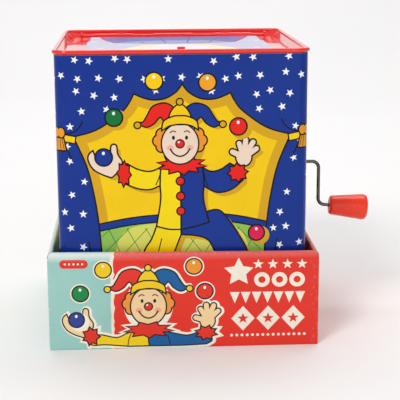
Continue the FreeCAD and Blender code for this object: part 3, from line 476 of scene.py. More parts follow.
def winding(ring, points):
    """How many times the outline goes round each point."""
    a, b = ring, np.roll(ring, -1, 0)
    x, y = points[:, :1], points[:, 1:]
    side = (b[:, 0] - a[:, 0]) * (y - a[:, 1]) - (x - a[:, 0]) * (b[:, 1] - a[:, 1])
    up = (a[:, 1] <= y) & (b[:, 1] > y) & (side > 0)
    down = (a[:, 1] > y) & (b[:, 1] <= y) & (side < 0)
    return up.sum(1) - down.sum(1)


def unit(x, y):
    """The direction of x, y with length 1."""
    size = math.hypot(x, y)
    return (x / size, y / size) if size > 1e-9 else (0.0, 0.0)


def quarter(x, half, radius, turn):
    """One side of a rounded square in plan, with half of each corner. x is the distance along it."""
    flat = half - radius
    over = abs(x) - flat
    side = math.copysign(1, x)
    if over <= 0 or radius <= 0:
        px, py, nx, ny = x, -half, 0.0, -1.0
    else:
        angle = over / radius
        nx, ny = side * math.sin(angle), -math.cos(angle)
        px, py = side * flat + radius * nx, -flat + radius * ny
    c, s = math.cos(turn), math.sin(turn)
    return (c * px - s * py, s * px + c * py), (c * nx - s * ny, s * nx + c * ny)


def side_length(half, radius):
    """Half the length of one side with half of each corner."""
    return half - radius + radius * math.pi / 4


# ------------------------------------------------------------ printed art

INK = {
    "blue": (6, 48, 140), "yellow": (246, 202, 0), "gold": (214, 164, 22), "black": (0, 0, 2),
    "star": (244, 250, 255), "suit_yellow": (250, 218, 0), "suit_blue": (8, 50, 144),
    "skin": (238, 214, 192), "cheek": (240, 176, 160), "hair": (239, 146, 38), "red": (232, 28, 18),
    "nose": (230, 26, 28), "green": (0, 114, 50), "orange": (240, 160, 36), "pink": (220, 20, 82),
    "lime": (212, 216, 98), "grass": (142, 192, 84), "lattice": (40, 104, 52), "tassel": (234, 156, 34),
    "white": (246, 247, 248),
}


def mirror(points):
    """The points with left and right swapped."""
    return [(-x, z) for x, z in points]


OPENING_TOP = [(-58.3, 120.4), (-49.6, 122.7), (-42.3, 126.4), (-32.6, 133.8), (-28.6, 139.0), (-26.4, 143.3),
               (-26.4, 143.3), (-20.8, 140.9), (-15.5, 139.8), (-9.2, 140.6), (-3.3, 144.1), (0.1, 148.6)]
OPENING_SIDE = [(-58.5, 117.5), (-52.8, 103.6), (-49.3, 88.5), (-46.8, 70.8), (-45.4, 50.0), (-45.8, 28.0),
                (-48.0, 2.0)]


def curtains(art, rng, half):
    """A blue starry curtain drawn back from a yellow tent, with gold edging, ties and tassels."""
    left, right = smooth(OPENING_TOP), smooth(mirror(OPENING_TOP))
    arch = smooth(OPENING_TOP, False) + smooth(mirror(OPENING_TOP), False)[::-1]
    drapes = [smooth(OPENING_SIDE, False), smooth(mirror(OPENING_SIDE), False)]
    for line in [arch] + drapes:
        art.stroke(line, 10.5, "gold")
    top = [(-half, 121.5)] + arch + [(half, 121.5), (half, art.top), (-half, art.top)]
    cloth = [top]
    art.fill(top, "blue")
    for side, drape in zip((-1, 1), drapes):
        hang = [(side * half, 116.0)] + drape + [(drape[-1][0], art.low), (side * half, art.low)]
        art.fill(hang, "blue")
        cloth.append(hang)
    edges = arch + drapes[0] + drapes[1] + [(s * x, 119.5) for s in (-1, 1) for x in (50, 54, 58, 62, 66)]
    step = 10.9
    for row in range(18):
        for column in range(-7, 8):
            x = (column + 0.5 * (row % 2)) * step + rng.uniform(-2.6, 2.6)
            z = 2.6 + row * step * 0.86 + rng.uniform(-1.9, 1.9)
            turn, size = rng.uniform(0, 1.2), rng.uniform(2.2, 2.4)
            if abs(x) < half - 2.3 and art.low + 2 < z < art.top - 1.2 and gap(edges, x, z) > 3.1 and \
                    any(inside(c, x, z) for c in cloth):
                art.fill(star(x, z, size, turn), "star")
    art.stroke(arch, 0.9)
    for side, drape in zip((-1, 1), drapes):
        art.stroke([(side * half, 120.9), drape[0]] + drape, 0.9)
        for fold in ([(-66, 121.4), (-60.4, 122.4), (-56.4, 125.2), (-54.4, 128.8)],
                     [(-64.6, 117), (-62.4, 111.4), (-60.4, 107.4)],
                     [(-52.8, 61), (-51.8, 54), (-52.5, 40), (-54, 30)]):
            art.stroke(smooth([(-side * x, z) for x, z in fold], False), 0.7)
    for side in (-1, 1):
        band = [(side * x, z) for x, z in ((58.8, 116.2), (half, 118.2), (half, 122.2), (58.2, 120.2))]
        art.shape(band, "yellow", 0.8)
    tassels(art, half)


def tassels(art, x):
    """The two tassels that tie the curtain."""
    for side in (-1, 1):
        fringe = [(side * (x + u), v) for u, v in ((2.2, 119.6), (3.0, 112.4), (-4.6, 112.4), (-3.2, 119.6))]
        art.shape(fringe, "tassel", 0.8)
        for i in range(3):
            art.stroke([(side * (x - 2.2 + i * 1.3), 119.0), (side * (x - 3.3 + i * 1.9), 112.8)], 0.4)
        art.shape(circle(side * (x - 1.6), 122.4, 2.4, 3.0), "tassel", 0.8)


def arena(art, rng):
    """The ring: green matting with a diamond lattice inside a blue curb."""
    rim = smooth([(-46.8, 70.8), (-31, 73.8), (-15.2, 75.4), (5, 76.0), (26.5, 75.0), (46.8, 70.8)], False)
    floor = rim + [(46.8, art.low), (-46.8, art.low)]
    side = smooth(OPENING_SIDE[3:], False)
    field = rim + smooth(mirror(OPENING_SIDE[3:]), False) + side[::-1]
    art.fill(field, "grass")
    pool = smooth([(-33, 66), (-12, 71), (10, 71.4), (31, 67), (38, 48), (36, 22), (24, art.low + 2),
                   (-26, art.low + 2), (-37, 24), (-39, 46)])
    art.fill(pool, "lime")
    for i in range(-9, 10):
        for lean in (-1, 1):
            ends = []
            for z in (art.low, 68.0):
                spread = 1 - (z / 68.0) * 0.34
                ends.append((i * 15.5 * spread + lean * (z - 34) * 0.62, z))
            (ax, az), (bx, bz) = ends
            run = [(ax + (bx - ax) * t / 30, az + (bz - az) * t / 30) for t in range(31)]
            run = [p for p in run if inside(field, *p)]
            if len(run) > 1:
                art.stroke(run, 0.35, "lattice")
    art.stroke([(x, z - 2.0) for x, z in rim], 4.2, "suit_blue")
    art.stroke(rim, 0.8)
    art.stroke([(x, z - 4.1) for x, z in rim], 0.8)
    art.stroke(side, 0.9)
    art.stroke(mirror(side), 0.9)


def ball(art, x, z, ink, r=5.1, shadow="gold", line=0.9):
    """A juggling ball with its shadow and a small highlight."""
    if shadow:
        art.fill(circle(x + 1.9, z - 1.5, r + 0.6), shadow)
    art.shape(circle(x, z, r - 0.3), ink, line)
    art.fill(circle(x - 0.1, z + r * 0.45, r * 0.16, r * 0.19, 12), "white")


def capsule(ax, az, bx, bz, r, s=None, count=8):
    """A rounded bar from a to b."""
    s = r if s is None else s
    lean = math.atan2(bz - az, bx - ax)
    near = [(ax + r * math.cos(lean + math.pi / 2 + math.pi * i / count),
             az + r * math.sin(lean + math.pi / 2 + math.pi * i / count)) for i in range(count + 1)]
    far = [(bx + s * math.cos(lean - math.pi / 2 + math.pi * i / count),
            bz + s * math.sin(lean - math.pi / 2 + math.pi * i / count)) for i in range(count + 1)]
    return near + far


def zigzag(x, z, rx, rz, depth, teeth, turn=0.0):
    """A pointed ruffle round an oval."""
    out = []
    for i in range(teeth * 2):
        a = turn + math.pi * i / teeth
        grow = 1 + (depth if i % 2 else 0)
        out.append((x + rx * grow * math.cos(a), z + rz * grow * math.sin(a)))
    return out


LEG_LEFT = smooth([(-14.6, 70), (-17.6, 62), (-21.8, 55), (-24.6, 43), (-27.5, 32), (-27.5, 32), (-19, 29.6),
                   (-11, 31), (-11, 31), (-7.4, 47), (-3.9, 57), (-1.2, 64), (-1.2, 64), (-1.2, 71),
                   (-1.2, 71)])
LEG_RIGHT = smooth([(-1.2, 71), (-1.2, 71), (7, 73.4), (14, 77.2), (20.2, 77.6), (25.5, 72), (31, 63.5),
                    (35.6, 55), (38.4, 46), (38.4, 46), (31, 41.8), (23.4, 41.6), (23.4, 41.6), (18.4, 52),
                    (14.2, 60.4), (7.5, 63.2), (-1.2, 64), (-1.2, 64)])
BODY_LEFT = smooth([(-1.2, 106), (-10.9, 104), (-12.6, 94), (-12.4, 84), (-14.9, 69), (-14.9, 69), (-8, 67.2),
                    (-1.2, 67), (-1.2, 67)], True)
BODY_RIGHT = smooth([(-1.2, 106), (9.6, 104), (11.6, 94), (11.4, 84), (14.5, 71), (14.5, 71), (7, 68.6),
                     (-1.2, 67), (-1.2, 67)], True)
ARM_LEFT = smooth([(-8.6, 104.6), (-17, 100.4), (-24.5, 101.4), (-30.6, 104.8), (-30.6, 104.8), (-34, 99.5),
                   (-32.2, 93.6), (-32.2, 93.6), (-25, 90.6), (-18, 90.0), (-12.2, 92.4), (-12.2, 92.4)])
ARM_RIGHT = smooth([(7.6, 104.6), (14.6, 100), (20.5, 100.6), (26, 104.2), (26, 104.2), (32.4, 100.2),
                    (33.4, 94.6), (33.4, 94.6), (27, 89.4), (19, 87.8), (11.4, 91.6), (11.4, 91.6)])
SHOE_LEFT = smooth([(-11.6, 31), (-10.6, 25.4), (-12.6, 21.6), (-12.6, 21.6), (-22, 21), (-32, 21.4),
                    (-38.4, 24.8), (-38.6, 30.6), (-34.4, 32.6), (-33.8, 29.2), (-29, 28.2), (-26.4, 31.4)])
SHOE_RIGHT = smooth([(24.6, 42), (25, 36.4), (23.4, 32.4), (23.4, 32.4), (32, 31), (41, 31.6), (47, 35.4),
                     (46.8, 41.4), (42.6, 43.2), (42.2, 39.8), (38.6, 39.4), (37.6, 45)])
LOBE_LEFT = smooth([(-4.6, 127.8), (-3.2, 134.4), (-9, 138.8), (-16, 137.2), (-19.4, 132), (-21.6, 128.6),
                    (-24.6, 128.2), (-20, 125.6), (-15.4, 127.6), (-12.2, 131), (-9.6, 128.4)])
LOBE_RIGHT = smooth([(2, 127.8), (1.0, 134.6), (6.6, 138.6), (13.4, 136.8), (17, 131.6), (19.4, 128.4),
                     (22.2, 128.2), (17.6, 125.2), (13, 127.4), (10.2, 130.8), (7.2, 128.4)])
LOBE_MIDDLE = smooth([(-6.8, 127.6), (-6.4, 134), (-1.4, 138.4), (3.6, 134), (4.2, 127.6)])
CAP = smooth([(-11.4, 123.6), (-11.4, 123.6), (-10.4, 128.8), (-5.4, 131.4), (-1.4, 131.8), (3, 131.4),
              (7.8, 128.8), (8.8, 123.6), (8.8, 123.6), (4.6, 126.2), (-1.4, 127), (-7.2, 126.2)])


def cupped_hand(x, z, r):
    """A hand under a ball of radius r at x, z: fingers on one side, the thumb on the other."""
    ring = [(-1.18, 0.62), (-1.52, 0.3), (-1.58, -0.3), (-1.1, -1.2), (-0.2, -1.78),
            (0.8, -2.15), (0.8, -2.15),
            (1.75, -1.35), (1.75, -1.35), (1.9, -0.5), (1.45, 0.3), (1.34, 1.2), (0.98, 1.32), (0.84, 0.9),
            (0.8, -0.3), (0, -0.9), (-0.85, -0.3)]
    return [smooth([(x + u * r, z + v * r) for u, v in ring])]


def open_hand(x, z, lean, size=1.0):
    """A palm with four fingers and a thumb, pointing along lean degrees."""
    shapes = [circle(x, z, 4.1 * size, 4.6 * size)]
    fingers = ((-38, 8.4, 1.35), (-13, 9.8, 1.4), (12, 9.6, 1.4), (37, 8.2, 1.3), (82, 7.0, 1.4))
    for offset, reach, thick in fingers:
        a = math.radians(lean + offset)
        shapes.append(capsule(x + 2 * math.cos(a) * size, z + 2 * math.sin(a) * size,
                              x + reach * math.cos(a) * size, z + reach * math.sin(a) * size,
                              thick * size * 1.1, thick * size))
    return shapes


def jester(art):
    """A juggling jester in a suit of two colours."""
    hand_left = cupped_hand(-43.4, 108.4, 5.1)
    hand_right = open_hand(33.8, 107.4, 72)
    outline = [LEG_LEFT, LEG_RIGHT, BODY_LEFT, BODY_RIGHT, ARM_LEFT, ARM_RIGHT, SHOE_LEFT, SHOE_RIGHT,
               LOBE_LEFT, LOBE_RIGHT, LOBE_MIDDLE, circle(-1.4, 117, 11.6, 12.6),
               zigzag(-0.6, 103.6, 9, 4.2, 0.55, 9)] + hand_left + hand_right
    for points in outline:
        art.fill([(x + 2.4, z - 2.2) for x, z in points], "gold")
    art.shape(SHOE_LEFT, "red")
    art.shape(SHOE_RIGHT, "orange")
    art.shape(LEG_LEFT, "suit_yellow")
    art.shape(LEG_RIGHT, "suit_blue")
    art.shape(ARM_LEFT, "suit_yellow")
    art.shape(ARM_RIGHT, "suit_blue")
    art.shape(BODY_LEFT, "suit_yellow")
    art.shape(BODY_RIGHT, "suit_blue")
    for ring, ink in (((-19.2, 30.2, 8.6, 2.6), "red"), ((31, 43.2, 8, 2.6), "yellow")):
        art.shape(zigzag(*ring, 0.35, 9), ink, 0.7)
    art.stroke(smooth([(-15, 92.4), (-13.4, 96), (-12.4, 99)], False), 0.6)
    art.stroke(smooth([(14, 91), (12.6, 95), (11.6, 99)], False), 0.6)
    art.stroke(smooth([(-12, 62), (-14, 54), (-15, 46)], False), 0.6)
    art.group(hand_left, "skin")
    art.group(hand_right, "skin")
    art.shape(zigzag(-32.4, 99.0, 2.9, 5.4, 0.40, 8, 0.3), "red", 0.8)
    art.shape(zigzag(30.4, 98.8, 4.2, 3.9, 0.40, 8, 0.5), "red", 0.8)
    for x, z in ((-1.4, 94.5), (-1.3, 86), (-1.2, 77.5)):
        art.shape(circle(x, z, 2.3), "red", 0.8)
    art.shape(zigzag(-0.6, 103.8, 9.4, 4.0, 0.5, 10, 0.1), "red", 0.8)
    jester_head(art, -1.4, 116.2, 1.0)
    ball(art, -43.4, 108.4, "suit_blue", shadow=None)


def jester_head(art, x, z, size, shadow=None):
    """A plain smiling face under a cap with three lobes, drawn round x, z."""
    def put(points):
        return [(x + (u + 1.4) * size, z + (v - 117) * size) for u, v in points]
    line = 0.85 * max(size, 0.95)
    if shadow:
        for points in (LOBE_LEFT, LOBE_RIGHT, LOBE_MIDDLE, circle(-1.4, 116.6, 12.4, 13.4)):
            art.stroke(put(points), 3.2 * size, shadow, True)
            art.fill(put(points), shadow)
    for side in (-1, 1):
        curls = [circle(-1.4 + side * u, v, r)
                 for u, v, r in ((9.8, 121.6, 3.0), (11.6, 118.0, 3.0), (10.2, 114.6, 2.6))]
        art.group([put(c) for c in curls], "hair", line)
    art.shape(put(circle(-1.4, 116.2, 10.3, 11.4, 40)), "skin", line)
    art.shape(put(LOBE_LEFT), "red", line)
    art.shape(put(LOBE_RIGHT), "suit_blue", line)
    art.shape(put(LOBE_MIDDLE), "yellow", line)
    art.shape(put(CAP), "yellow", line)
    for u, v, ink in ((-24.6, 126.8, "gold"), (22.2, 126.8, "gold"), (-1.4, 139.4, "gold")):
        art.shape(put(circle(u, v, 1.9)), ink, line * 0.9)
    for side in (-1, 1):
        art.fill(put(circle(-1.4 + side * 5.4, 114.0, 1.9, 1.5, 16)), "cheek")
        art.fill(put(circle(-1.4 + side * 3.6, 119.6, 0.85, 1.15, 14)), "black")
        brow = [(-1.4 + side * 5.6, 122.3), (-1.4 + side * 3.9, 123.4), (-1.4 + side * 2.2, 122.7)]
        art.stroke(put(smooth(brow, False)), 0.6 * size)
    smile = smooth([(-6.9, 113.6), (-4.8, 110.6), (-1.4, 109.2), (2.0, 110.6), (4.1, 113.6)], False)
    art.stroke(put(smile), 0.85 * size)
    art.shape(put(circle(-1.4, 116.2, 2.35)), "nose", line * 0.8)
    art.fill(put(circle(-2.1, 117.1, 0.55, count=10)), "white")


def pedestal(art):
    """A striped circus drum with a big star over it."""
    top, low = 62.0, 27.0
    sides = [(-21, top), (21, top), (27, low), (-27, low)]
    art.fill([(x + 2.6, z - 2.2) for x, z in sides], "gold")
    for i in range(6):
        u, v = i / 6, (i + 1) / 6
        stripe = [(-21 + 42 * u, top), (-21 + 42 * v, top), (-27 + 54 * v, low), (-27 + 54 * u, low)]
        art.shape(stripe, ("red", "white")[i % 2], 0.7)
    for z, half in ((top, 22.5), (low, 28.5)):
        art.shape([(-half, z - 2.6), (half, z - 2.6), (half, z + 2.6), (-half, z + 2.6)], "yellow", 0.9)
    art.fill(star(2.2, 97.8, 25, waist=0.46), "gold")
    art.shape(star(0, 100, 24, waist=0.46), "red", 1.1)
    art.shape(star(0, 100, 14.5, waist=0.46), "suit_yellow", 0.9)
    art.shape(circle(0, 100, 4.6), "suit_blue", 0.9)


BALLS = ((-15.3, 150.1, "yellow"), (13.8, 149.1, "orange"), (-37.4, 130.4, "green"), (30.7, 124.6, "red"),
         (41.0, 64.4, "pink"))


def tin_art(face):
    """One side of the tin. Faces 0 and 2 have the jester, 1 and 3 the drum and star."""
    rng = random.Random(41 + face)
    half = side_length(TIN_HALF, TIN_CORNER)
    art = Print(-half, TIN_LOW, half, TIN_TOP, "yellow")
    curtains(art, rng, half)
    arena(art, rng)
    if face % 2:
        pedestal(art)
    else:
        jester(art)
    for x, z, ink in BALLS:
        if not face % 2 or z > 110:
            ball(art, x, z, ink, 5.1 if z > 100 else 4.8, None if z > 132 else "gold")
    corner = TIN_CORNER * math.pi / 4
    for x in [-half] + [side * (half - corner * i / 6) for side in (-1, 1) for i in range(1, 7)]:
        art.guide(((x, art.low), (x, art.top)))
    return art


def tin_print():
    """The printed sheet of the tin body, one piece per side."""
    inks = {name: litho("tin_" + name, colour) for name, colour in INK.items()}
    for face in range(4):
        art = tin_art(face)
        if face == 1:
            art.fill(circle(*CRANK_HOLE), "hole")
        turn = face * math.pi / 2
        def place(x, z, turn=turn):
            (px, py), (nx, ny) = quarter(x, TIN_HALF, TIN_CORNER, turn)
            return (px, py, z), (nx, ny, 0.0)
        skin = art.build(f"tin_print_{face}", inks, place)
        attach(skin, "box")


# ------------------------------------------------------------ card tray

CARD = {
    "aqua": (156, 206, 198), "red": (230, 46, 28), "torn": (250, 232, 212), "black": (12, 12, 14),
    "halo": (253, 240, 222), "yellow": (248, 205, 8), "green": (0, 136, 66), "blue": (44, 62, 148),
    "orange": (240, 152, 42), "suit_yellow": (250, 212, 8), "suit_blue": (0, 94, 158),
    "skin": (250, 212, 160), "cheek": (246, 168, 140), "hair": (240, 152, 52), "nose": (222, 40, 40),
    # seam is a dark ink for the painted shade in the slits where the walls meet.
    "gold": (244, 205, 20), "seam": (96, 40, 34), "white": (252, 248, 244),
}
TORN_X = -40.1
FOLD_STEPS = 7


def tray_profile():
    """Depth and height round one wall, from under its foot, up, over the fold and down inside."""
    deep, top, base = TRAY_WALL, TRAY_TOP, FLOOR_TOP
    crest = 1.9
    out = [(deep, 0.0), (0.3, 0.0), (0.0, 0.3)]
    for i in range(FOLD_STEPS + 1):
        a = math.pi / 2 * i / FOLD_STEPS
        out.append((crest * (1 - math.cos(a)), top - 3.6 * (1 - math.sin(a))))
    for i in range(1, FOLD_STEPS + 1):
        a = math.pi / 2 * i / FOLD_STEPS
        out.append((crest + (deep - crest) * math.sin(a), top - 1.1 * (1 - math.cos(a))))
    out.append((deep, base))
    return out


def along(profile):
    """Distance along the profile at each of its points, zero where the outer face starts."""
    total, out = 0.0, [0.0]
    for a, b in zip(profile, profile[1:]):
        total += math.dist(a, b)
        out.append(total)
    return [t - out[2] for t in out]


def ragged(rng, x, low, high, step=2.1, rough=0.55):
    """A torn paper edge running up at x."""
    count = int((high - low) / step)
    return [(x + rng.uniform(-rough, rough), low + (high - low) * i / count) for i in range(count + 1)]


def tray_bust(art):
    """The jester from the waist up, arms out to the juggling balls, inside a cream halo."""
    sleeves = [smooth([(-31.5, 1.0), (-31.5, 1.0), (-44, 2.2), (-52.6, 2.4), (-54.2, 7.4), (-54.2, 7.4),
                       (-47, 8.2), (-38, 6.4), (-31, 9.2), (-22, 9.4), (-20, 4), (-20, 1), (-20, 1)]),
               smooth([(-20, 1.0), (-20, 1.0), (-20, 9), (-14, 10.4), (-6, 8.4), (2, 7.0), (10, 9.6),
                       (10, 9.6), (15.6, 4.2), (12.4, 1.4), (12.4, 1.4), (0, 0.9)])]
    left_hand = cupped_hand(-60.4, 17.2, 4.7)
    right_hand = open_hand(13.0, 15.4, 82, 0.98)
    left_cuff = zigzag(-52.4, 7.4, 3.4, 3.8, 0.5, 7, 0.4)
    right_cuff = zigzag(12.2, 8.2, 4.4, 3.1, 0.5, 8, 0.1)
    collar = zigzag(-20.2, 10.6, 9.4, 3.2, 0.55, 9, 0.2)
    for points in sleeves + left_hand + right_hand + [left_cuff, right_cuff, collar]:
        art.stroke([(x + 0.5, z) for x, z in points], 3.4, "halo", True)
        art.fill(points, "halo")
    art.shape(sleeves[0], "suit_yellow", 0.75)
    art.shape(sleeves[1], "suit_blue", 0.75)
    art.stroke(smooth([(-32, 1.2), (-31.4, 5), (-30, 8.6)], False), 0.55)
    art.stroke(smooth([(-8, 1.2), (-8.6, 4), (-9.6, 7.4)], False), 0.55)
    art.group(left_hand, "skin", 0.75)
    art.group(right_hand, "skin", 0.75)
    art.shape(left_cuff, "red", 0.75)
    art.shape(right_cuff, "red", 0.75)
    jester_head(art, -20.1, 25.2, 0.98, "halo")
    art.shape(collar, "red", 0.75)
    ball(art, -60.4, 17.2, "blue", 4.7, "halo", 0.8)


def bold_panel(art):
    """Rows of plain cream shapes, bold to light, where a display box is printed."""
    for i in range(4):
        art.fill(star(41.5 + i * 8.2, 48.6, 3.1), "halo")
    art.fill(star(30.6, 44.0, 8.6, waist=0.5), "halo")
    for i in range(3):
        art.fill(circle(43.6 + i * 9.9, 39.4, 4.4, count=30), "halo")
        art.fill(circle(43.6 + i * 9.9, 39.4, 2.0, count=18), "red")
    for i in range(7):
        x = 25.6 + i * 6.15
        art.fill([(x, 32.2), (x + 5.5, 32.2), (x + 2.75, 25.4)], "halo")
    for i in range(3):
        x = 33.0 + i * 14.2
        art.fill([(x - 6.6, 16.4), (x, 23.8), (x + 6.6, 16.4), (x, 9.0)], "halo")
        art.fill(star(x, 16.3, 3.4), "red")
    for i in range(15):
        art.fill(circle(26.6 + i * 2.95, 6.3, 0.85, count=10), "halo")


def tray_art(face):
    """Print of one tray wall, outside and inside. Face 0 is the front."""
    rng = random.Random(7 + face)
    profile = tray_profile()
    reach = along(profile)
    half = side_length(TRAY_HALF, TRAY_CORNER)
    low, high = reach[0], reach[-1]
    art = Print(-half, low, half, high, "aqua" if face == 3 else "red")
    if face in (0, 2):
        torn = TORN_X if face == 0 else -TORN_X
        out = -half if face == 0 else half
        edge = ragged(rng, torn + (1.0 if face == 0 else -1.0), low, high)
        art.fill([(out, low)] + edge + [(out, high)], "torn")
        edge = ragged(rng, torn - (1.0 if face == 0 else -1.0), low, high, rough=0.3)
        art.fill([(out, low)] + edge + [(out, high)], "aqua")
    if face == 0:
        badge = capsule(-66.6, 49.6, -55.8, 49.6, 2.5)
        art.fill(badge, "red")
        for i in range(5):
            art.fill(circle(-66.0 + i * 2.4, 49.6, 0.62, count=10), "halo")
        bold_panel(art)
        for x, z, ink in ((-45, 46.1, "yellow"), (-57.9, 32.5, "green"), (5.5, 47.7, "orange"),
                          (11.6, 33.0, "red")):
            art.fill(circle(x, z, 5.7), "halo")
            ball(art, x, z, ink, 4.9, None, 0.8)
        tray_bust(art)
    elif face == 2:
        for x, z, ink in ((56, 39, "orange"), (50, 20, "blue"), (-62, 44, "green"), (-62, 14, "yellow")):
            ball(art, x, z, ink, 4.9, "halo", 0.8)
        for i in range(5):
            art.fill(star(-46 + i * 18, 28, 6.4 if i % 2 else 9.6, waist=0.5), "halo")
        for i in range(24):
            for z in (10.5, 45.5):
                art.fill(circle(-50 + i * 3.5, z, 0.85, count=10), "halo")
    else:
        art.fill(star(0, 27.5, 15.5, waist=0.48), "halo")
        art.fill(star(0, 27.5, 9.5, waist=0.48), "red" if face == 3 else "aqua")
        fifth = "red" if face == 3 else "yellow"
        for i, ink in enumerate(("yellow", "green", "orange", "blue", fifth, "orange")):
            angle = math.pi * (i + 0.5) / 6
            ball(art, 46 * math.cos(angle), 14 + 30 * math.sin(angle), ink, 4.9, "halo", 0.8)
        for x in (-60, 60):
            art.fill(star(x, 44, 4.2), "halo")
    for side in (-1, 1):
        # A thin dark line at each end of the wall, over the fold and down the inner face: painted shade for
        # the slit between two walls.
        art.stroke([(side * half, TRAY_TOP - 3.4), (side * half, high)], 0.5, "seam")
    for level in reach[1:-1]:
        art.guide(((-half, level), (half, level)))
    for i in range(1, 5):
        x = half - TRAY_CORNER * math.pi / 4 * i / 4
        art.guide(((x, low), (x, high)), ((-x, low), (-x, high)))
    return art, profile, reach


def tray():
    """The open display box the toy stands in: four folded walls and a floor of crossed flaps."""
    # crease sets the painted highlight on the fold: strong on the aqua print, faint on the others.
    inks = {name: card("card_" + name, colour, crease=0.5 if name == "aqua" else 0.1)
            for name, colour in CARD.items()}
    full = side_length(TRAY_HALF, TRAY_CORNER)
    for face in range(4):
        art, profile, reach = tray_art(face)
        turn = face * math.pi / 2
        def place(x, v):
            i = max(k for k in range(len(reach) - 1) if reach[k] <= v + 1e-6)
            share = min(1.0, max(0.0, (v - reach[i]) / (reach[i + 1] - reach[i])))
            deep = profile[i][0] + (profile[i + 1][0] - profile[i][0]) * share
            z = (profile[i][1] + (profile[i + 1][1] - profile[i][1]) * share) * (1 - sag(x / full, face))
            radius = max(TRAY_CORNER - deep, 0.0)
            half = TRAY_HALF - deep
            (px, py), (nx, ny) = quarter(x * side_length(half, radius) / full, half, radius, turn)
            slopes = [profile_normal(profile, k) for k in (i, i + 1)]
            nd, nz = (slopes[0][k] + (slopes[1][k] - slopes[0][k]) * share for k in (0, 1))
            return (px, py, z), (nx * nd, ny * nd, nz)
        wall = art.build(f"tray_wall_{face}", inks, place)
        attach(wall, "tray")
        if face == 0:
            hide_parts("display_tray")
    floor = tray_floor()
    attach(floor, "tray")


def sag(place, face):
    """How much lower the wall's top stands there: the box has gone soft at its front right corner."""
    share = (place + 1) / 2
    return (0.030 * share, 0.030 * (1 - share) + 0.012 * share, 0.012 * (1 - share), 0.0)[face]


def profile_normal(profile, k):
    """Outward direction at profile point k, as outward share and rise."""
    before, after = profile[max(k - 1, 0)], profile[min(k + 1, len(profile) - 1)]
    if k >= len(profile) - 1 or k == 0:
        return (-1.0, 0.0) if k else (0.0, -1.0)
    if math.dist(profile[k], profile[k + 1]) > 20:
        after = (profile[k][0], profile[k][1] + (1 if k < len(profile) // 2 else -1))
        before = profile[k]
    elif math.dist(profile[k], profile[k - 1]) > 20:
        before = (profile[k][0], profile[k][1] - 1)
        after = profile[k]
    dx, dz = unit(after[0] - before[0], after[1] - before[1])
    return dz, dx


def tray_floor():
    """Four crossed flaps of raw board."""
    half = TRAY_HALF - 0.5
    points, faces = [], []
    for turn in range(4):
        level = 0.62 if turn % 2 else 0.06
        reach = half * (0.62 if turn % 2 else 0.99)
        taper = 14 if turn % 2 else 3
        outline = [(-half, -half), (half, -half), (half - taper, reach - half), (taper - half, reach - half)]
        c, s = math.cos(turn * math.pi / 2), math.sin(turn * math.pi / 2)
        start = len(points)
        for z in (level, level + 0.54):
            points += [((c * x - s * y) * MM, (s * x + c * y) * MM, z * MM) for x, y in outline]
        faces += [[start + i for i in (3, 2, 1, 0)], [start + i for i in (4, 5, 6, 7)]]
        faces += [[start + i, start + (i + 1) % 4, start + 4 + (i + 1) % 4, start + 4 + i] for i in range(4)]
    return make_mesh("tray_floor", points, faces, [board("grey_board", (196, 184, 164))], soft=False)


# ------------------------------------------------------------ lid print

LID_INKS = {"lavender": (206, 208, 232), "cream": (250, 238, 208), "white": (240, 240, 244),
            "violet": (96, 106, 182),
            "dusk": (72, 84, 166), "sky": (150, 164, 212), "magenta": (200, 24, 104), "glow": (244, 170, 60)}


def lid_print():
    """Printed top of the lid: a lit ring in front of a violet canopy on a pale ground."""
    inks = {name: litho("lid_" + name, colour, 0.42) for name, colour in LID_INKS.items()}
    low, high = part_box("lid_panel")
    half, front, back = high.x / MM - 0.35, low.y / MM + 0.35, 53.9
    level = LID_TOP + SKIN
    art = Print(-half, front, half, back, "lavender")
    for reach, ink in ((44, "cream"), (27, "white")):
        rise = reach * 0.45
        art.fill(smooth([(-reach, front), (-reach, front), (-reach * 0.86, front + rise), (-reach * 0.45, -6),
                         (0, -2), (reach * 0.45, -6), (reach * 0.86, front + rise), (reach, front),
                         (reach, front)]), ink)
    canopy = smooth([(-46, 50), (-46, 50), (-43, 30), (-37, 11), (-37, 11), (-20, 6.5), (0, 5), (18, 6.5),
                     (35, 11), (35, 11), (41, 30), (46, 50), (46, 50), (0, 52.5)])
    art.shape(canopy, "violet", 2.0, "magenta")
    art.fill(smooth([(-35, 13), (-35, 13), (-20, 8.6), (0, 7.2), (18, 8.6), (33, 13), (33, 13), (20, 22),
                     (0, 24), (-22, 22)]), "sky")
    for x in (-24, -8, 8, 24):
        art.stroke(smooth([(x * 0.8, 8.4), (x, 28), (x * 1.25, 50)], False), 1.0, "dusk")
    art.stroke(smooth([(-20, 4.6), (0, 2.8), (18, 4.6)], False), 1.6, "glow")
    for x, y in ((-45, -24), (45, -24), (-49, 20), (49, 20), (-43, -50), (43, -50)):
        art.fill(star(x, y, 3.2, x * 0.3), "white")
    art.stroke([(-half, 20), (-half, back), (half, back), (half, 20)], 2.6, "magenta")
    def place(x, y):
        return (x, y, level), (0.0, 0.0, 1.0)
    sheet = art.build("lid_print", inks, place)
    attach(sheet, "lid")


# ------------------------------------------------------------ shapes for soft and turned pieces

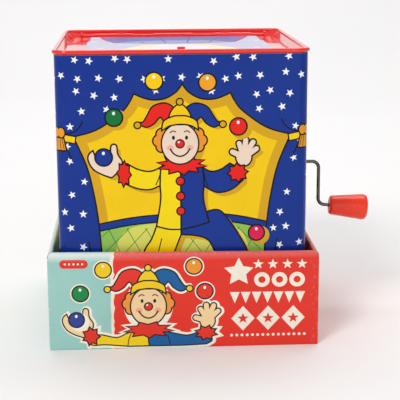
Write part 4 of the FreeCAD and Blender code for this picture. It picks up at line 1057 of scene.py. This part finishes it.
class Form:
    """A mesh gathered from several shapes, in millimetres."""

    def __init__(self):
        self.points, self.faces, self.ink = [], [], []

    def add(self, points, faces, ink=0):
        """Faces with one ink, or a list with one for each."""
        start = len(self.points)
        self.points += points
        self.faces += [[start + i for i in face] for face in faces]
        self.ink += [ink] * len(faces) if isinstance(ink, int) else ink

    def grid(self, rows, ink=0, ends=True):
        """Rings joined one to the next. ink may be a function of a face's middle."""
        count = len(rows[0])
        points = [p for row in rows for p in row]
        faces = []
        for start in range(0, count * (len(rows) - 1), count):
            for i, j in zip(range(count), [*range(1, count), 0]):
                faces.append([start + i, start + j, start + count + j, start + count + i])
        if ends:
            for base, flip in ((0, True), (count * (len(rows) - 1), False)):
                middle = [sum(points[base + i][k] for i in range(count)) / count for k in range(3)]
                points.append(tuple(middle))
                tip = len(points) - 1
                for i in range(count):
                    near, far = base + i, base + (i + 1) % count
                    faces.append([far, near, tip] if flip else [near, far, tip])
        if callable(ink):
            ink = [ink([sum(points[i][k] for i in face) / len(face) for k in range(3)]) for face in faces]
        self.add(points, faces, ink)

    def build(self, name, materials):
        return make_mesh(name, [[c * MM for c in p] for p in self.points], self.faces, materials, self.ink)


def frames(path):
    """Directions across a path at each point, without twist."""
    path = [Vector(p) for p in path]
    out, side = [], None
    for i in range(len(path)):
        ahead = (path[min(i + 1, len(path) - 1)] - path[max(i - 1, 0)]).normalized()
        if side is None:
            side = ahead.orthogonal().normalized()
        side = (side - ahead * side.dot(ahead)).normalized()
        out.append((path[i], side, ahead.cross(side)))
    return out


def sweep(path, radius, count, wave=None):
    """Rings along a path. radius is a number or a function of the share along it."""
    rows = []
    last = len(path) - 1
    for i, (at, side, other) in enumerate(frames(path)):
        t = i / last
        r = radius(t) if callable(radius) else radius
        row = []
        for k in range(count):
            a = math.tau * k / count
            grow = r * (1 + (wave(t, a) if wave else 0))
            row.append(tuple(at + side * (grow * math.cos(a)) + other * (grow * math.sin(a))))
        rows.append(row)
    return rows


def lathe(profile, count, wave=None):
    """Rings round the figure's upright axis from (radius, height) points."""
    rows = []
    for r, z in profile:
        row = []
        for k in range(count):
            a = math.tau * k / count
            grow = r + (wave(r, z, a) if wave else 0)
            row.append((AXIS_X + grow * math.cos(a), grow * math.sin(a), z))
        rows.append(row)
    return rows


def ellipsoid(x, y, z, rx, ry, rz, rows=14, count=20, wave=None):
    """Rings of an ellipsoid, open only at the poles, which the grid's ends close."""
    out = []
    for i in range(rows):
        v = math.pi * (i + 0.5) / rows
        ring = []
        for k in range(count):
            a = math.tau * k / count
            grow = 1 + (wave(v, a) if wave else 0)
            ring.append((x + rx * grow * math.sin(v) * math.cos(a), y + ry * grow * math.sin(v) * math.sin(a),
                         z - rz * grow * math.cos(v)))
        out.append(ring)
    return out


def fused(name, form, voxel, materials):
    """Melts overlapping closed shapes into one skin."""
    rough = form.build(name + "_rough", materials)
    remesh = rough.modifiers.new("remesh", "REMESH")
    remesh.mode, remesh.voxel_size = "VOXEL", voxel * MM
    ease = rough.modifiers.new("ease", "SMOOTH")
    ease.factor, ease.iterations = 0.5, 2
    bpy.context.view_layer.update()
    mesh = bpy.data.meshes.new_from_object(rough.evaluated_get(bpy.context.evaluated_depsgraph_get()))
    mesh.name = name
    mesh.materials.clear()
    for m in materials:
        mesh.materials.append(m)
    mesh.polygons.foreach_set("use_smooth", [True] * len(mesh.polygons))
    bpy.data.objects.remove(rough)
    thing = bpy.data.objects.new(name, mesh)
    bpy.context.scene.collection.objects.link(thing)
    return thing


def heights(node):
    """Lowest and highest point of a CAD node, in millimetres."""
    return [corner.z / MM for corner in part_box(node)]


def put(thing, body, slot, *nodes):
    """Sets a piece on its body and in place of its CAD nodes."""
    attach(thing, body)
    if nodes:
        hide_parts(*nodes)
    return thing


# ------------------------------------------------------------ spring and suit

def spring(material):
    """The tall open coil, its last turns closed and ground flat."""
    low, high = heights("figure_spring")
    wire, radius, turns = 0.9, 20.0, 10
    path = []
    for i in range(turns * 40 + 1):
        t = i / (turns * 40)
        turn = t * turns
        ease = 0.5 * (1 - math.cos(math.pi * min(1, max(0, (turn - 0.6) / (turns - 1.2)))))
        share = 0.18 * ease + 0.82 * min(1, max(0, (turn - 0.6) / (turns - 1.2)))
        a = math.tau * turn
        path.append((AXIS_X + radius * math.cos(a), radius * math.sin(a),
                     low + wire + (high - low - 2 * wire) * share))
    form = Form()
    form.grid(sweep(path, wire, 10))
    thing = form.build("figure_coil", [material])
    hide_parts("figure_spring")
    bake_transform(thing)


def two_colours(point):
    """The left colour or the right one."""
    return 0 if point[0] < AXIS_X else 1


def skirt(materials):
    """The suit's body: a cotton tube gathered in rings over the coil, half of it in each colour."""
    low, high = heights("costume_skirt")
    folds, steps, count = 12, 11, 112
    depth = 3.1
    rows = []
    for i in range(folds * steps + 1):
        t = i / (folds * steps)
        middle = 36.6 - 5.9 * t
        crease = math.cos(math.tau * folds * t)
        hem = min(1.0, 14 * t, 14 * (1 - t))
        row = []
        for k in range(count):
            a = math.tau * k / count
            gather = 0.34 * math.sin(a * 28 + 1.7 * math.sin(a * 3 + folds * t))
            gather += 0.3 * math.sin(a * 11 + 5 * t)
            lean = 0.35 * math.sin(a * 2 + folds * t * 1.3)
            r = middle - depth + depth * crease * hem + gather * (0.5 + 0.5 * hem)
            row.append((AXIS_X + r * math.cos(a), r * math.sin(a), low + (high - low) * t + lean * hem))
        rows.append(row)
    form = Form()
    form.grid(rows, two_colours, False)
    thing = form.build("suit_skirt", materials)
    thick = thing.modifiers.new("cloth", "SOLIDIFY")
    thick.thickness, thick.offset = 0.0004, -1
    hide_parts("costume_skirt")
    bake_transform(thing)


def torso(materials, thread):
    """The stuffed chest, seamed down the middle, gathered into the neck."""
    profile = [(26, 70.3), (29.4, 70.7), (30.2, 72.2), (30.3, 74.6), (29.8, 77.6), (28.6, 80.8), (26.9, 84),
               (25.0, 87), (23.0, 89.8), (21.0, 92.2), (19.2, 94.4), (17.9, 96.0), (16.8, 97.0), (12, 97.1)]
    dense = smooth(profile, False, 4)

    def wave(r, z, a):
        neck = max(0.0, (z - 84) / 13)
        waist = max(0.0, (76 - z) / 6)
        pleat = 0.75 * neck * math.sin(a * 26 + math.sin(a * 3)) * (r > 13)
        seam = -0.8 * math.exp(-(math.cos(a) / 0.035) ** 2) * (r > 13)
        return pleat + seam + 0.5 * waist * math.sin(a * 30) + 0.25 * math.sin(a * 5 + z * 0.4)
    form = Form()
    form.grid(lathe(dense, 156, wave), two_colours)
    chest = put(form.build("suit_chest", materials), "figure", "suit_blue", "costume_torso")
    stitches = Form()
    for side in (-1, 1):
        for i in range(14):
            z = 73.6 + i * 1.62
            r = 0.12 + interpolate(profile, z)
            a, b = (AXIS_X + side * 1.3, -r + 0.06, z), (AXIS_X + side * 1.3, -r + 0.06 + 0.45, z + 0.95)
            stitches.grid(sweep([a, tuple((p + q) / 2 - (0.16 if k == 1 else 0) for k, (p, q) in
                                          enumerate(zip(a, b))), b], 0.16, 6))
    put(stitches.build("chest_stitches", [thread]), "figure", "collar_white")


def interpolate(profile, z):
    """Radius of a profile at a height."""
    for (r0, z0), (r1, z1) in zip(profile, profile[1:]):
        if z0 <= z <= z1 and z1 > z0:
            return r0 + (r1 - r0) * (z - z0) / (z1 - z0)
    return profile[-1][0]


def ruff(material, edge):
    """A pleated neck ruff: one strip of cotton gathered in deep waves, with a coloured edge."""
    form = Form()
    waves, count = 15, 300
    middle, rise = 99.4, 1.6
    radii = [13.5, 15.5, 17.5, 19.5, 21.5, 23.5, 25, 25.9, 26.5]
    rows = []
    for r in radii:
        share = (r - radii[0]) / (radii[-1] - radii[0])
        row = []
        for k in range(count):
            a = math.tau * k / count
            swing = math.sin(a * waves)
            z = middle + rise * swing * (0.35 + 0.65 * share) + 0.2 * math.sin(a * 4)
            lean = a + 0.05 * share * math.sin(2 * a * waves)
            row.append((AXIS_X + r * math.cos(lean), r * math.sin(lean), z))
        rows.append(row)
    form.grid(rows, lambda p: 1 if math.hypot(p[0] - AXIS_X, p[1]) > 25.4 else 0, False)
    thing = form.build("neck_ruff", [material, edge])
    thick = thing.modifiers.new("cloth", "SOLIDIFY")
    thick.thickness, thick.offset = 0.0005, 0
    put(thing, "figure", "collar_white", "collar_ruff")


def sleeve(side, material, cuff, name, node):
    """One stuffed sleeve, wrinkled at the elbow, with a gathered cuff."""
    path = smooth([(AXIS_X + side * u, 0, z) for u, z in
                   ((19.6, 89.6), (24.4, 91.4), (28.6, 91.0), (32.2, 87.6), (34.6, 82.6), (36.4, 77.6),
                    (37.2, 74.2))], False, 9)

    def radius(t):
        return 5.5 - 1.0 * t + (0.9 * (t - 0.9) / 0.1 if t > 0.9 else 0) - 1.6 * max(0, 0.12 - t) / 0.12

    def wave(t, a):
        return 0.045 * math.sin(t * 42 + 1.2 * math.sin(a)) * math.sin(math.pi * t) + \
            0.05 * max(0, t - 0.75) / 0.25 * math.sin(a * 13)
    form = Form()
    form.grid(sweep(path, radius, 52, wave))
    rows = []
    for i, r in enumerate((3.9, 4.8, 5.3)):
        row = []
        for k in range(90):
            a = math.tau * k / 90
            u = 37.2 + i * 0.25
            z = 74.0 - i * 0.55 + 0.35 * i / 2 * math.sin(a * 11)
            row.append((AXIS_X + side * (u + r * 0.98 * math.cos(a)), r * math.sin(a) * 0.98,
                        z + r * 0.1 * math.cos(a)))
        rows.append(row)
    form.grid(rows, 1, False)
    arm = put(form.build(name, [material, cuff]), "figure", "suit_yellow" if side < 0 else "suit_blue", node)


def hand(side, material, name, node):
    """A small mitten-like hand with four fingers and a thumb."""
    low, high = (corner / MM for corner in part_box(node))
    x, z = (low.x + high.x) / 2, (low.z + high.z) / 2
    form = Form()
    form.grid(ellipsoid(x, 0, z + 0.6, 2.2, 3.1, 2.7))
    form.grid(sweep([(x - side * 0.4, 0, z + 3.9), (x, 0, z + 1.4)], 1.9, 14))
    for i, (y, reach) in enumerate(((-2.3, 3.1), (-0.8, 3.9), (0.8, 3.9), (2.2, 3.2))):
        path = smooth([(x, y * 0.8, z - 0.4), (x - side * 0.3, y * 1.02, z - reach * 0.55),
                       (x - side * 1.2, y * 1.08, z - reach)], False, 5)
        form.grid(sweep(path, lambda t: 0.95 * math.sqrt(max(0.12, 1 - max(0, (t - 0.55) / 0.47) ** 2)), 12))
    path = smooth([(x - side * 0.6, -1.2, z + 0.9), (x - side * 2.0, -3.0, z),
                   (x - side * 2.6, -3.4, z - 1.5)], False, 5)
    form.grid(sweep(path, lambda t: 1.0 * math.sqrt(max(0.15, 1 - max(0, (t - 0.6) / 0.42) ** 2)), 12))
    put(fused(name, form, 0.22, [material]), "figure", "hand_skin", node)


def pompoms(material):
    """Fluffy yarn balls: a core wrapped in short strands."""
    rng = random.Random(5)
    form = Form()
    for x, y, z in ((AXIS_X, -26.0, 90.5), (AXIS_X, -31.8, 79.0)):
        form.grid(ellipsoid(x, y, z, 2.2, 2.2, 2.2, 10, 14))
        for _ in range(150):
            v, a = math.acos(rng.uniform(-1, 1)), rng.uniform(0, math.tau)
            out = Vector((math.sin(v) * math.cos(a), math.sin(v) * math.sin(a), math.cos(v)))
            droop = Vector((rng.uniform(-0.3, 0.3), rng.uniform(-0.3, 0.3), rng.uniform(-0.4, 0.1)))
            ends = [Vector((x, y, z)) + out * 1.9, Vector((x, y, z)) + out * 2.5 + droop * 0.4,
                    Vector((x, y, z)) + out * 2.88 + droop * 0.6]
            form.grid(sweep([tuple(e) for e in ends], lambda t: 0.26 * (1 - 0.55 * t), 5))
    put(form.build("pompom_yarn", [material]), "figure", "wool_red", "pompoms")


# ------------------------------------------------------------ head

HEAD_Z = 124.0


def head_point(v, a, lift=0.0):
    """The head's surface: v from the chin up, a from the front round to its left, in radians; lift in mm."""
    cheek = 0.9 * math.exp(-((v - 1.25) / 0.42) ** 2) * math.exp(-((abs(wrapped(a)) - 0.62) / 0.42) ** 2)
    socket = -0.55 * math.exp(-((v - 1.72) / 0.17) ** 2) * math.exp(-((abs(wrapped(a)) - 0.36) / 0.2) ** 2)
    chin = 0.9 * math.exp(-((v - 0.62) / 0.3) ** 2) * math.exp(-(wrapped(a) / 0.55) ** 2)
    r = 20.6 + cheek + socket + chin + lift
    flat = math.sin(v)
    return (AXIS_X + r * flat * math.sin(a), -r * flat * math.cos(a) * 0.985, HEAD_Z - r * math.cos(v) * 1.01)


def wrapped(a):
    """The angle between minus and plus half a turn."""
    return (a + math.pi) % math.tau - math.pi


def head(skin):
    """The moulded head with its neck and ears."""
    form = Form()
    rows = []
    count, rings = 96, 64
    for i in range(rings):
        v = math.pi * (i + 0.5) / rings
        rows.append([head_point(v, math.tau * k / count) for k in range(count)])
    form.grid(rows)
    form.grid(lathe([(13.2, 101.8), (13.0, 103), (12.6, 106), (13.4, 109)], 48))
    for side in (-1, 1):
        ear = ellipsoid(AXIS_X + side * 20.6, 0.5, 123.0, 1.6, 3.0, 4.0, 16, 24)
        form.grid(ear)
    put(form.build("vinyl_head", [skin]), "figure", "face_vinyl", "head")


def face_paint():
    """Sprayed and printed features laid on the head."""
    art = Print(-22, -20, 22, 14, "hole")
    for side in (-1, 1):
        art.fill(circle(side * 10.4, -5.6, 3.5, 3.0), "cheek")
        art.fill(circle(side * 6.3, 2.6, 2.6, 3.2), "white")
        art.stroke(circle(side * 6.3, 2.6, 2.6, 3.2), 0.35, "brown", True)
        art.fill(circle(side * 6.0, 2.0, 1.45, 1.75), "iris")
        art.fill(circle(side * 6.0, 1.9, 0.8, 1.0), "black")
        art.fill(circle(side * 6.0 - 0.5, 2.9, 0.4, 0.45, 10), "white")
        brow = smooth([(side * 9.2, 7.2), (side * 6.8, 8.6), (side * 3.8, 7.8)], False)
        art.stroke(brow, 0.8, "brown")
    lips = smooth([(-8.6, -7.6), (-5.2, -11.0), (0, -12.4), (5.2, -11.0), (8.6, -7.6), (8.6, -7.6),
                   (4.4, -9.8), (0, -10.6), (-4.4, -9.8)])
    art.shape(lips, "lip", 0.35, "brown")
    for x in (-8.6, 8.6):
        art.stroke(smooth([(x * 0.94, -6.6), (x * 1.06, -7.4), (x * 1.06, -8.4)], False), 0.5, "brown")
    for k in range(-20, 15, 2):
        art.guide(((-22, k + 0.01), (22, k + 0.01)), ((k, -20), (k, 14)))
    inks = {name: vinyl("paint_" + name, colour) for name, colour in (
        ("cheek", (240, 150, 130)), ("white", (246, 246, 242)), ("black", (24, 22, 24)),
        ("brown", (96, 52, 34)), ("iris", (52, 104, 172)), ("lip", (206, 44, 48)))}

    def place(x, z):
        v = math.pi / 2 + z / 20.6
        a = x / (20.6 * max(0.35, math.sin(v)))
        here = Vector(head_point(v, a, 0.06))
        normal = (Vector(head_point(v, a + 0.01)) - Vector(head_point(v, a - 0.01))).cross(
            Vector(head_point(v + 0.01, a)) - Vector(head_point(v - 0.01, a))).normalized()
        return tuple(here), tuple(normal)
    put(art.build("face_paint", inks, place), "figure", "face_vinyl")


def nose(material):
    """A round nose with its mould line."""
    low, high = (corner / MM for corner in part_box("nose"))
    x, y, z = (low + high) / 2
    form = Form()
    form.grid(ellipsoid(x, y, z, 4.15, 4.0, 4.15, 30, 48,
                        lambda v, a: 0.006 * math.exp(-(math.cos(a) / 0.05) ** 2)))
    put(form.build("round_nose", [material]), "figure", "nose_red", "nose")


def hair(material):
    """Two tufts of looped yarn."""
    rng = random.Random(12)
    form = Form()
    for side in (-1, 1):
        cx, cy, cz = AXIS_X + side * 25.6, 0.8, 122.4
        form.grid(ellipsoid(cx - side * 0.6, cy, cz, 3.4, 4.6, 4.8, 12, 18))
        for _ in range(64):
            v, a = math.acos(rng.uniform(-1, 1)), rng.uniform(0, math.tau)
            out = Vector((math.sin(v) * math.cos(a) * 0.75, math.sin(v) * math.sin(a), math.cos(v)))
            if out.x * side < -0.45:
                continue
            base = Vector((cx, cy, cz)) + out * 3.4
            across = out.cross(Vector([rng.uniform(-1, 1) for _ in range(3)])).normalized()
            size = rng.uniform(1.0, 1.35)
            loop = []
            for t in (math.tau * i / 12 for i in range(13)):
                loop.append(tuple(base + out * (size * 1.25 * (1 - math.cos(t)))
                                  + across * (size * 0.9 * math.sin(t))))
            form.grid(sweep(loop, 0.42, 6))
    put(form.build("yarn_hair", [material]), "figure", "wool_orange", "hair_tufts")


def cap(reds, blues, yellow):
    """The felt cap: two colours joined by a seam, with a rolled yellow band."""
    form = Form()
    base, steps = 134.2, 26
    start = math.acos((base - HEAD_Z) / 23.6)
    profile = [(23.6 * math.sin(start * (1 - i / steps)), HEAD_Z + 23.6 * math.cos(start * (1 - i / steps)))
               for i in range(steps)]

    def wave(r, z, a):
        return -0.35 * math.exp(-(math.cos(a) / 0.03) ** 2) * min(1, r / 6) + 0.12 * math.sin(a * 7 + z)
    form.grid(lathe(profile, 120, wave), two_colours)
    band = []
    for i in range(14):
        a = math.tau * i / 14
        band.append((21.1 + 0.72 * math.cos(a), 135.6 + 1.45 * math.sin(a)))
    ring = lathe(band + band[:1], 120, lambda r, z, a: 0.1 * math.sin(a * 24))
    form.grid(ring, 2, False)
    put(form.build("felt_cap", [reds, blues, yellow]), "figure", "felt_red", "hat_cap")


SEAM_SIDE = 12


def horn(points, radii, material, thread, name, node, slot):
    """One stuffed horn of the cap, creased at the bend, with a stitched seam."""
    path = smooth(points, False, 8)
    last = len(radii) - 1

    def radius(t):
        place = t * last
        i = min(int(place), last - 1)
        return spline((radii[max(i - 1, 0)],), (radii[i],), (radii[i + 1],),
                      (radii[min(i + 2, last)],), place - i)[0]

    def wave(t, a):
        crease = 0.03 * math.sin(t * 30 + 1.5 * math.sin(a)) * math.sin(math.pi * t)
        return crease + 0.015 * math.sin(a * 5 + t * 9)
    form = Form()
    rows = sweep(path, radius, 48, wave)
    form.grid(rows)
    seam = [row[SEAM_SIDE] for row in rows]
    for i in range(3, len(seam) - 3, 2):
        form.grid(sweep([seam[i], seam[i + 1]], 0.2, 6), 1)
    put(form.build(name, [material, thread]), "figure", slot, node)


def bells(brass, dark):
    """Jingle bells: two pressed cups with a rolled waist; the slot is not cut, and a dark tube with round
    ends lies on each as painted shade in its place.
    """
    low, high = (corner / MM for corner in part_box("hat_bells"))
    form = Form()
    spots = ((low.x + 3.0, 0, low.z + 3.0), (high.x - 3.0, 0, low.z + 3.0),
             (AXIS_X, low.y + 3.0, high.z - 3.0))
    for x, y, z in spots:
        form.grid(ellipsoid(x, y, z, 2.85, 2.85, 2.85, 22, 36,
                            lambda v, a: 0.05 * math.exp(-((v - math.pi / 2) / 0.07) ** 2)))
        # The slot is painted shade: a near-black tube and two round ends on the shell where the opening would
        # be.
        slot = [(x - 1.9, y, z - 2.14), (x - 1.0, y, z - 2.70), (x, y, z - 2.88), (x + 1.0, y, z - 2.70),
                (x + 1.9, y, z - 2.14)]
        form.grid(sweep(smooth(slot, False, 4), 0.24, 8), 1)
        for end in (slot[0], slot[-1]):
            form.grid(ellipsoid(*end, 0.55, 0.55, 0.45, 8, 12), 1)
    put(form.build("jingle_bells", [brass, dark]), "figure", "bell_brass", "hat_bells")


def figure():
    """The jester on its spring."""
    yellow = woven("suit_yellow", (244, 207, 30))
    blue = woven("suit_blue", (42, 68, 152))
    white = woven("collar_white", (240, 238, 230), 0.0005)
    red_cloth = woven("trim_red", (206, 40, 44), 0.0005)
    felt_red = felt("felt_red", (212, 40, 44))
    felt_blue = felt("felt_blue", (42, 66, 150))
    felt_yellow = felt("felt_yellow", (240, 196, 36))
    thread = felt("thread", (250, 240, 214), 0.3)
    brass = metal("bell_brass", (222, 184, 92), 0.18, (500, 500, 500), 0.12)
    # Near-black paint for the bells' slots: painted shade in place of openings that are not cut.
    dark = Paint("bell_slot_painted_shade", Specular_IOR_Level=0.1)
    dark.set("Base Color", dark.mix(dark.noise(900), linear((22, 18, 14)), linear((38, 30, 22))))
    dark.set("Roughness", dark.ramp(dark.noise(500), (0.3, 0.7), (0.7, 0.9)))
    spring(metal("coil_steel", (150, 153, 160), 0.26, (40, 900, 900)))
    skirt([yellow, blue])
    torso([yellow, blue], thread)
    ruff(white, red_cloth)
    skin = vinyl("hand_vinyl", (242, 214, 190))
    sleeve(-1, yellow, red_cloth, "sleeve_yellow", "sleeve_left")
    sleeve(1, blue, red_cloth, "sleeve_blue", "sleeve_right")
    hand(-1, skin, "hand_west", "hand_left")
    hand(1, skin, "hand_east", "hand_right")
    pompoms(felt("pompom_wool", (218, 40, 44), 0.6))
    head(vinyl("face_vinyl", (240, 206, 178), (246, 198, 172)))
    face_paint()
    nose(enamel("nose_red", (224, 42, 46), 0.12))
    hair(felt("wool_orange", (236, 132, 40), 0.5))
    cap(felt_red, felt_blue, felt_yellow)
    for side, material, name, node, slot in (
            (-1, felt_red, "horn_red", "hat_horn_left", "felt_red"),
            (1, felt_blue, "horn_blue", "hat_horn_right", "suit_blue")):
        points = [(AXIS_X + side * u, 0, z) for u, z in
                  ((4, 139.0), (10.5, 144.6), (18.4, 149.6), (26.0, 151.0), (32.4, 147.6), (36.6, 142.4),
                   (38.2, 138.4))]
        horn(points, [12.6, 10.6, 8.0, 5.4, 3.8, 2.4, 1.2], material, thread, name, node, slot)
    points = [(AXIS_X, y, z) for y, z in
              ((0.5, 143.0), (-4.0, 147.2), (-9.6, 151.2), (-15, 153.4), (-19.2, 154.4))]
    horn(points, [9.6, 6.4, 4.2, 2.6, 1.2], felt_yellow, thread, "horn_yellow", "hat_horn_front",
         "suit_yellow")
    bells(brass, dark.material)


# ------------------------------------------------------------ CAD nodes

def finish_nodes():
    """Materials for the CAD nodes that are shown as they are."""
    red = enamel("red_enamel", (236, 38, 34))
    tin = metal("bare_tin", (216, 217, 213), 0.42, pure=0.7)
    plated = metal("plated_steel", (200, 200, 204), 0.2)
    spring = metal("spring_steel", (150, 153, 160), 0.3)
    brass = metal("turned_brass", (206, 170, 92), 0.25, (60, 900, 900))
    chrome = metal("chrome_wire", (104, 97, 90), 0.07, (900, 900, 60), 0.1)
    nylon = plastic("nylon", (230, 226, 214), 0.4, 0.15)
    nylon_red = plastic("nylon_red", (196, 44, 40), 0.38)
    knob = plastic("knob_red", (255, 54, 12), 0.26, 0.04, 0.08)
    # The tab is the rim's red enamel made lighter: painted light, for the highlight that falls on it.
    tab_red_painted_light = enamel("tab_enamel_painted_light", (238, 84, 76))
    shown = (
        (tin, "tin_body tin_bottom spring_cup latch_brackets movement_plate_outer movement_plate_inner "
              "spring_disc"),
        (red, "top_rim hinge_brackets hinge_pin costume_skirt lid_panel"),
        (plated, "latch_hook latch_shaft movement_posts movement_rivets comb_screws lid_catch lid_rivet "
                 "drum_axle"),
        (nylon, "latch_follower crank_pinion release_cam"),
        (spring, "latch_spring music_comb figure_spring crank_clip"),
        (brass, "crank_bushing comb_block music_drum"),
        (tab_red_painted_light, "lid_tab"), (chrome, "crank_rod"), (knob, "crank_knob"), (nylon_red, "drum_gear"))
    for material, nodes in shown:
        for node in nodes.split():
            slots = NODES[node].data.materials
            slots.clear()
            slots.append(material)


# Sizes in millimetres, from the CAD nodes. SKIN is how far a printed sheet stands off its metal.
SKIN = 0.04
TIN_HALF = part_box("tin_body")[1].x / MM + SKIN
TIN_CORNER = 6.0 + SKIN
TIN_LOW, TIN_TOP = heights("tin_body")[0] + 0.3, heights("tin_body")[1] - 0.1
TRAY_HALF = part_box("display_tray")[1].x / MM
TRAY_TOP = heights("display_tray")[1]
TRAY_WALL, TRAY_CORNER, FLOOR_TOP = 3.0, 0.9, 1.2
LID_TOP = 163.65
CRANK_HOLE = (0.0, sum(heights("crank_bushing")) / 2, 2.0)
AXIS_X = (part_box("head")[0].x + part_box("head")[1].x) / 2 / MM

finish_nodes()
figure()
tin_print()
tray()
lid_print()


# ------------------------------------------------------------ stage

def backdrop():
    """A pale floor that curves up into a wall behind."""
    points = []
    rows = [(-4.0, 0.0), (0.9, 0.0)]
    rows += [(0.9 + 1.1 * math.sin(a), 1.1 * (1 - math.cos(a))) for a in
             (math.pi / 2 * i / 16 for i in range(1, 17))] + [(2.0, 5.0)]
    for y, z in rows:
        points += [(-5.0, y, z - 0.0001), (5.0, y, z - 0.0001)]
    faces = [[2 * i, 2 * i + 1, 2 * i + 3, 2 * i + 2] for i in range(len(rows) - 1)]
    p = Paint("backdrop", Specular_IOR_Level=0.15)
    p.set("Base Color", p.mix(p.noise(3, 3), linear((246, 245, 245)), linear((252, 251, 251))))
    p.set("Roughness", p.ramp(p.noise(40, 3), (0.3, 0.8), (0.7, 0.9)))
    floor = make_mesh("backdrop", points, faces, [p.material])


def lamp(name, place, aim, size, watts, colour=(1, 1, 1)):
    """A round area lamp aimed at a point."""
    data = bpy.data.lights.new(name, "AREA")
    data.shape, data.size, data.energy, data.color = "DISK", size, watts, colour
    thing = bpy.data.objects.new(name, data)
    thing.location = place
    thing.rotation_mode = "QUATERNION"
    thing.rotation_quaternion = (Vector(aim) - Vector(place)).to_track_quat("-Z", "Y")
    bpy.context.scene.collection.objects.link(thing)


def lights():
    """An even white room, one key lamp, and softer ones."""
    world = bpy.data.worlds.new("studio")
    bpy.context.scene.world = world
    world.use_nodes = True
    ground = world.node_tree.nodes["Background"]
    ground.inputs["Color"].default_value = (1.0, 1.0, 1.0, 1)
    ground.inputs["Strength"].default_value = 0.43
    lamp("key", (-0.6, -1.1, 1.2), (0, 0, 0.08), 0.5, 10.4, (1.0, 0.985, 0.965))
    lamp("fill", (0.5, -1.7, 0.5), (0, 0, 0.08), 1.0, 3.2, (0.97, 0.985, 1.0))
    lamp("top", (0.1, 0.5, 1.5), (0, 0, 0.1), 1.1, 6)
    lamp("wall", (0, 0.7, 1.9), (0, 2.0, 0.8), 1.6, 11)


def camera():
    """The photograph's viewpoint: in front, a little above, a long lens."""
    yaw, pitch, roll = -0.0560895, 0.2198867, -0.0047834
    right = Vector((math.cos(yaw), math.sin(yaw), 0))
    ahead = Vector((-math.sin(yaw) * math.cos(pitch), math.cos(yaw) * math.cos(pitch), -math.sin(pitch)))
    up = right.cross(ahead)
    right, up = math.cos(roll) * right + math.sin(roll) * up, math.cos(roll) * up - math.sin(roll) * right
    data = bpy.data.cameras.new("camera")
    data.lens, data.sensor_width = 108.06, 36.0
    data.clip_start, data.clip_end = 0.02, 20.0
    thing = bpy.data.objects.new("camera", data)
    turn = Matrix((right, up, -ahead)).transposed().to_4x4()
    thing.matrix_world = Matrix.Translation((-0.027066, -0.719262, 0.229074)) @ turn
    bpy.context.scene.collection.objects.link(thing)
    bpy.context.scene.camera = thing


camera()
lights()
backdrop()
bpy.context.scene.view_settings.view_transform = "Standard"
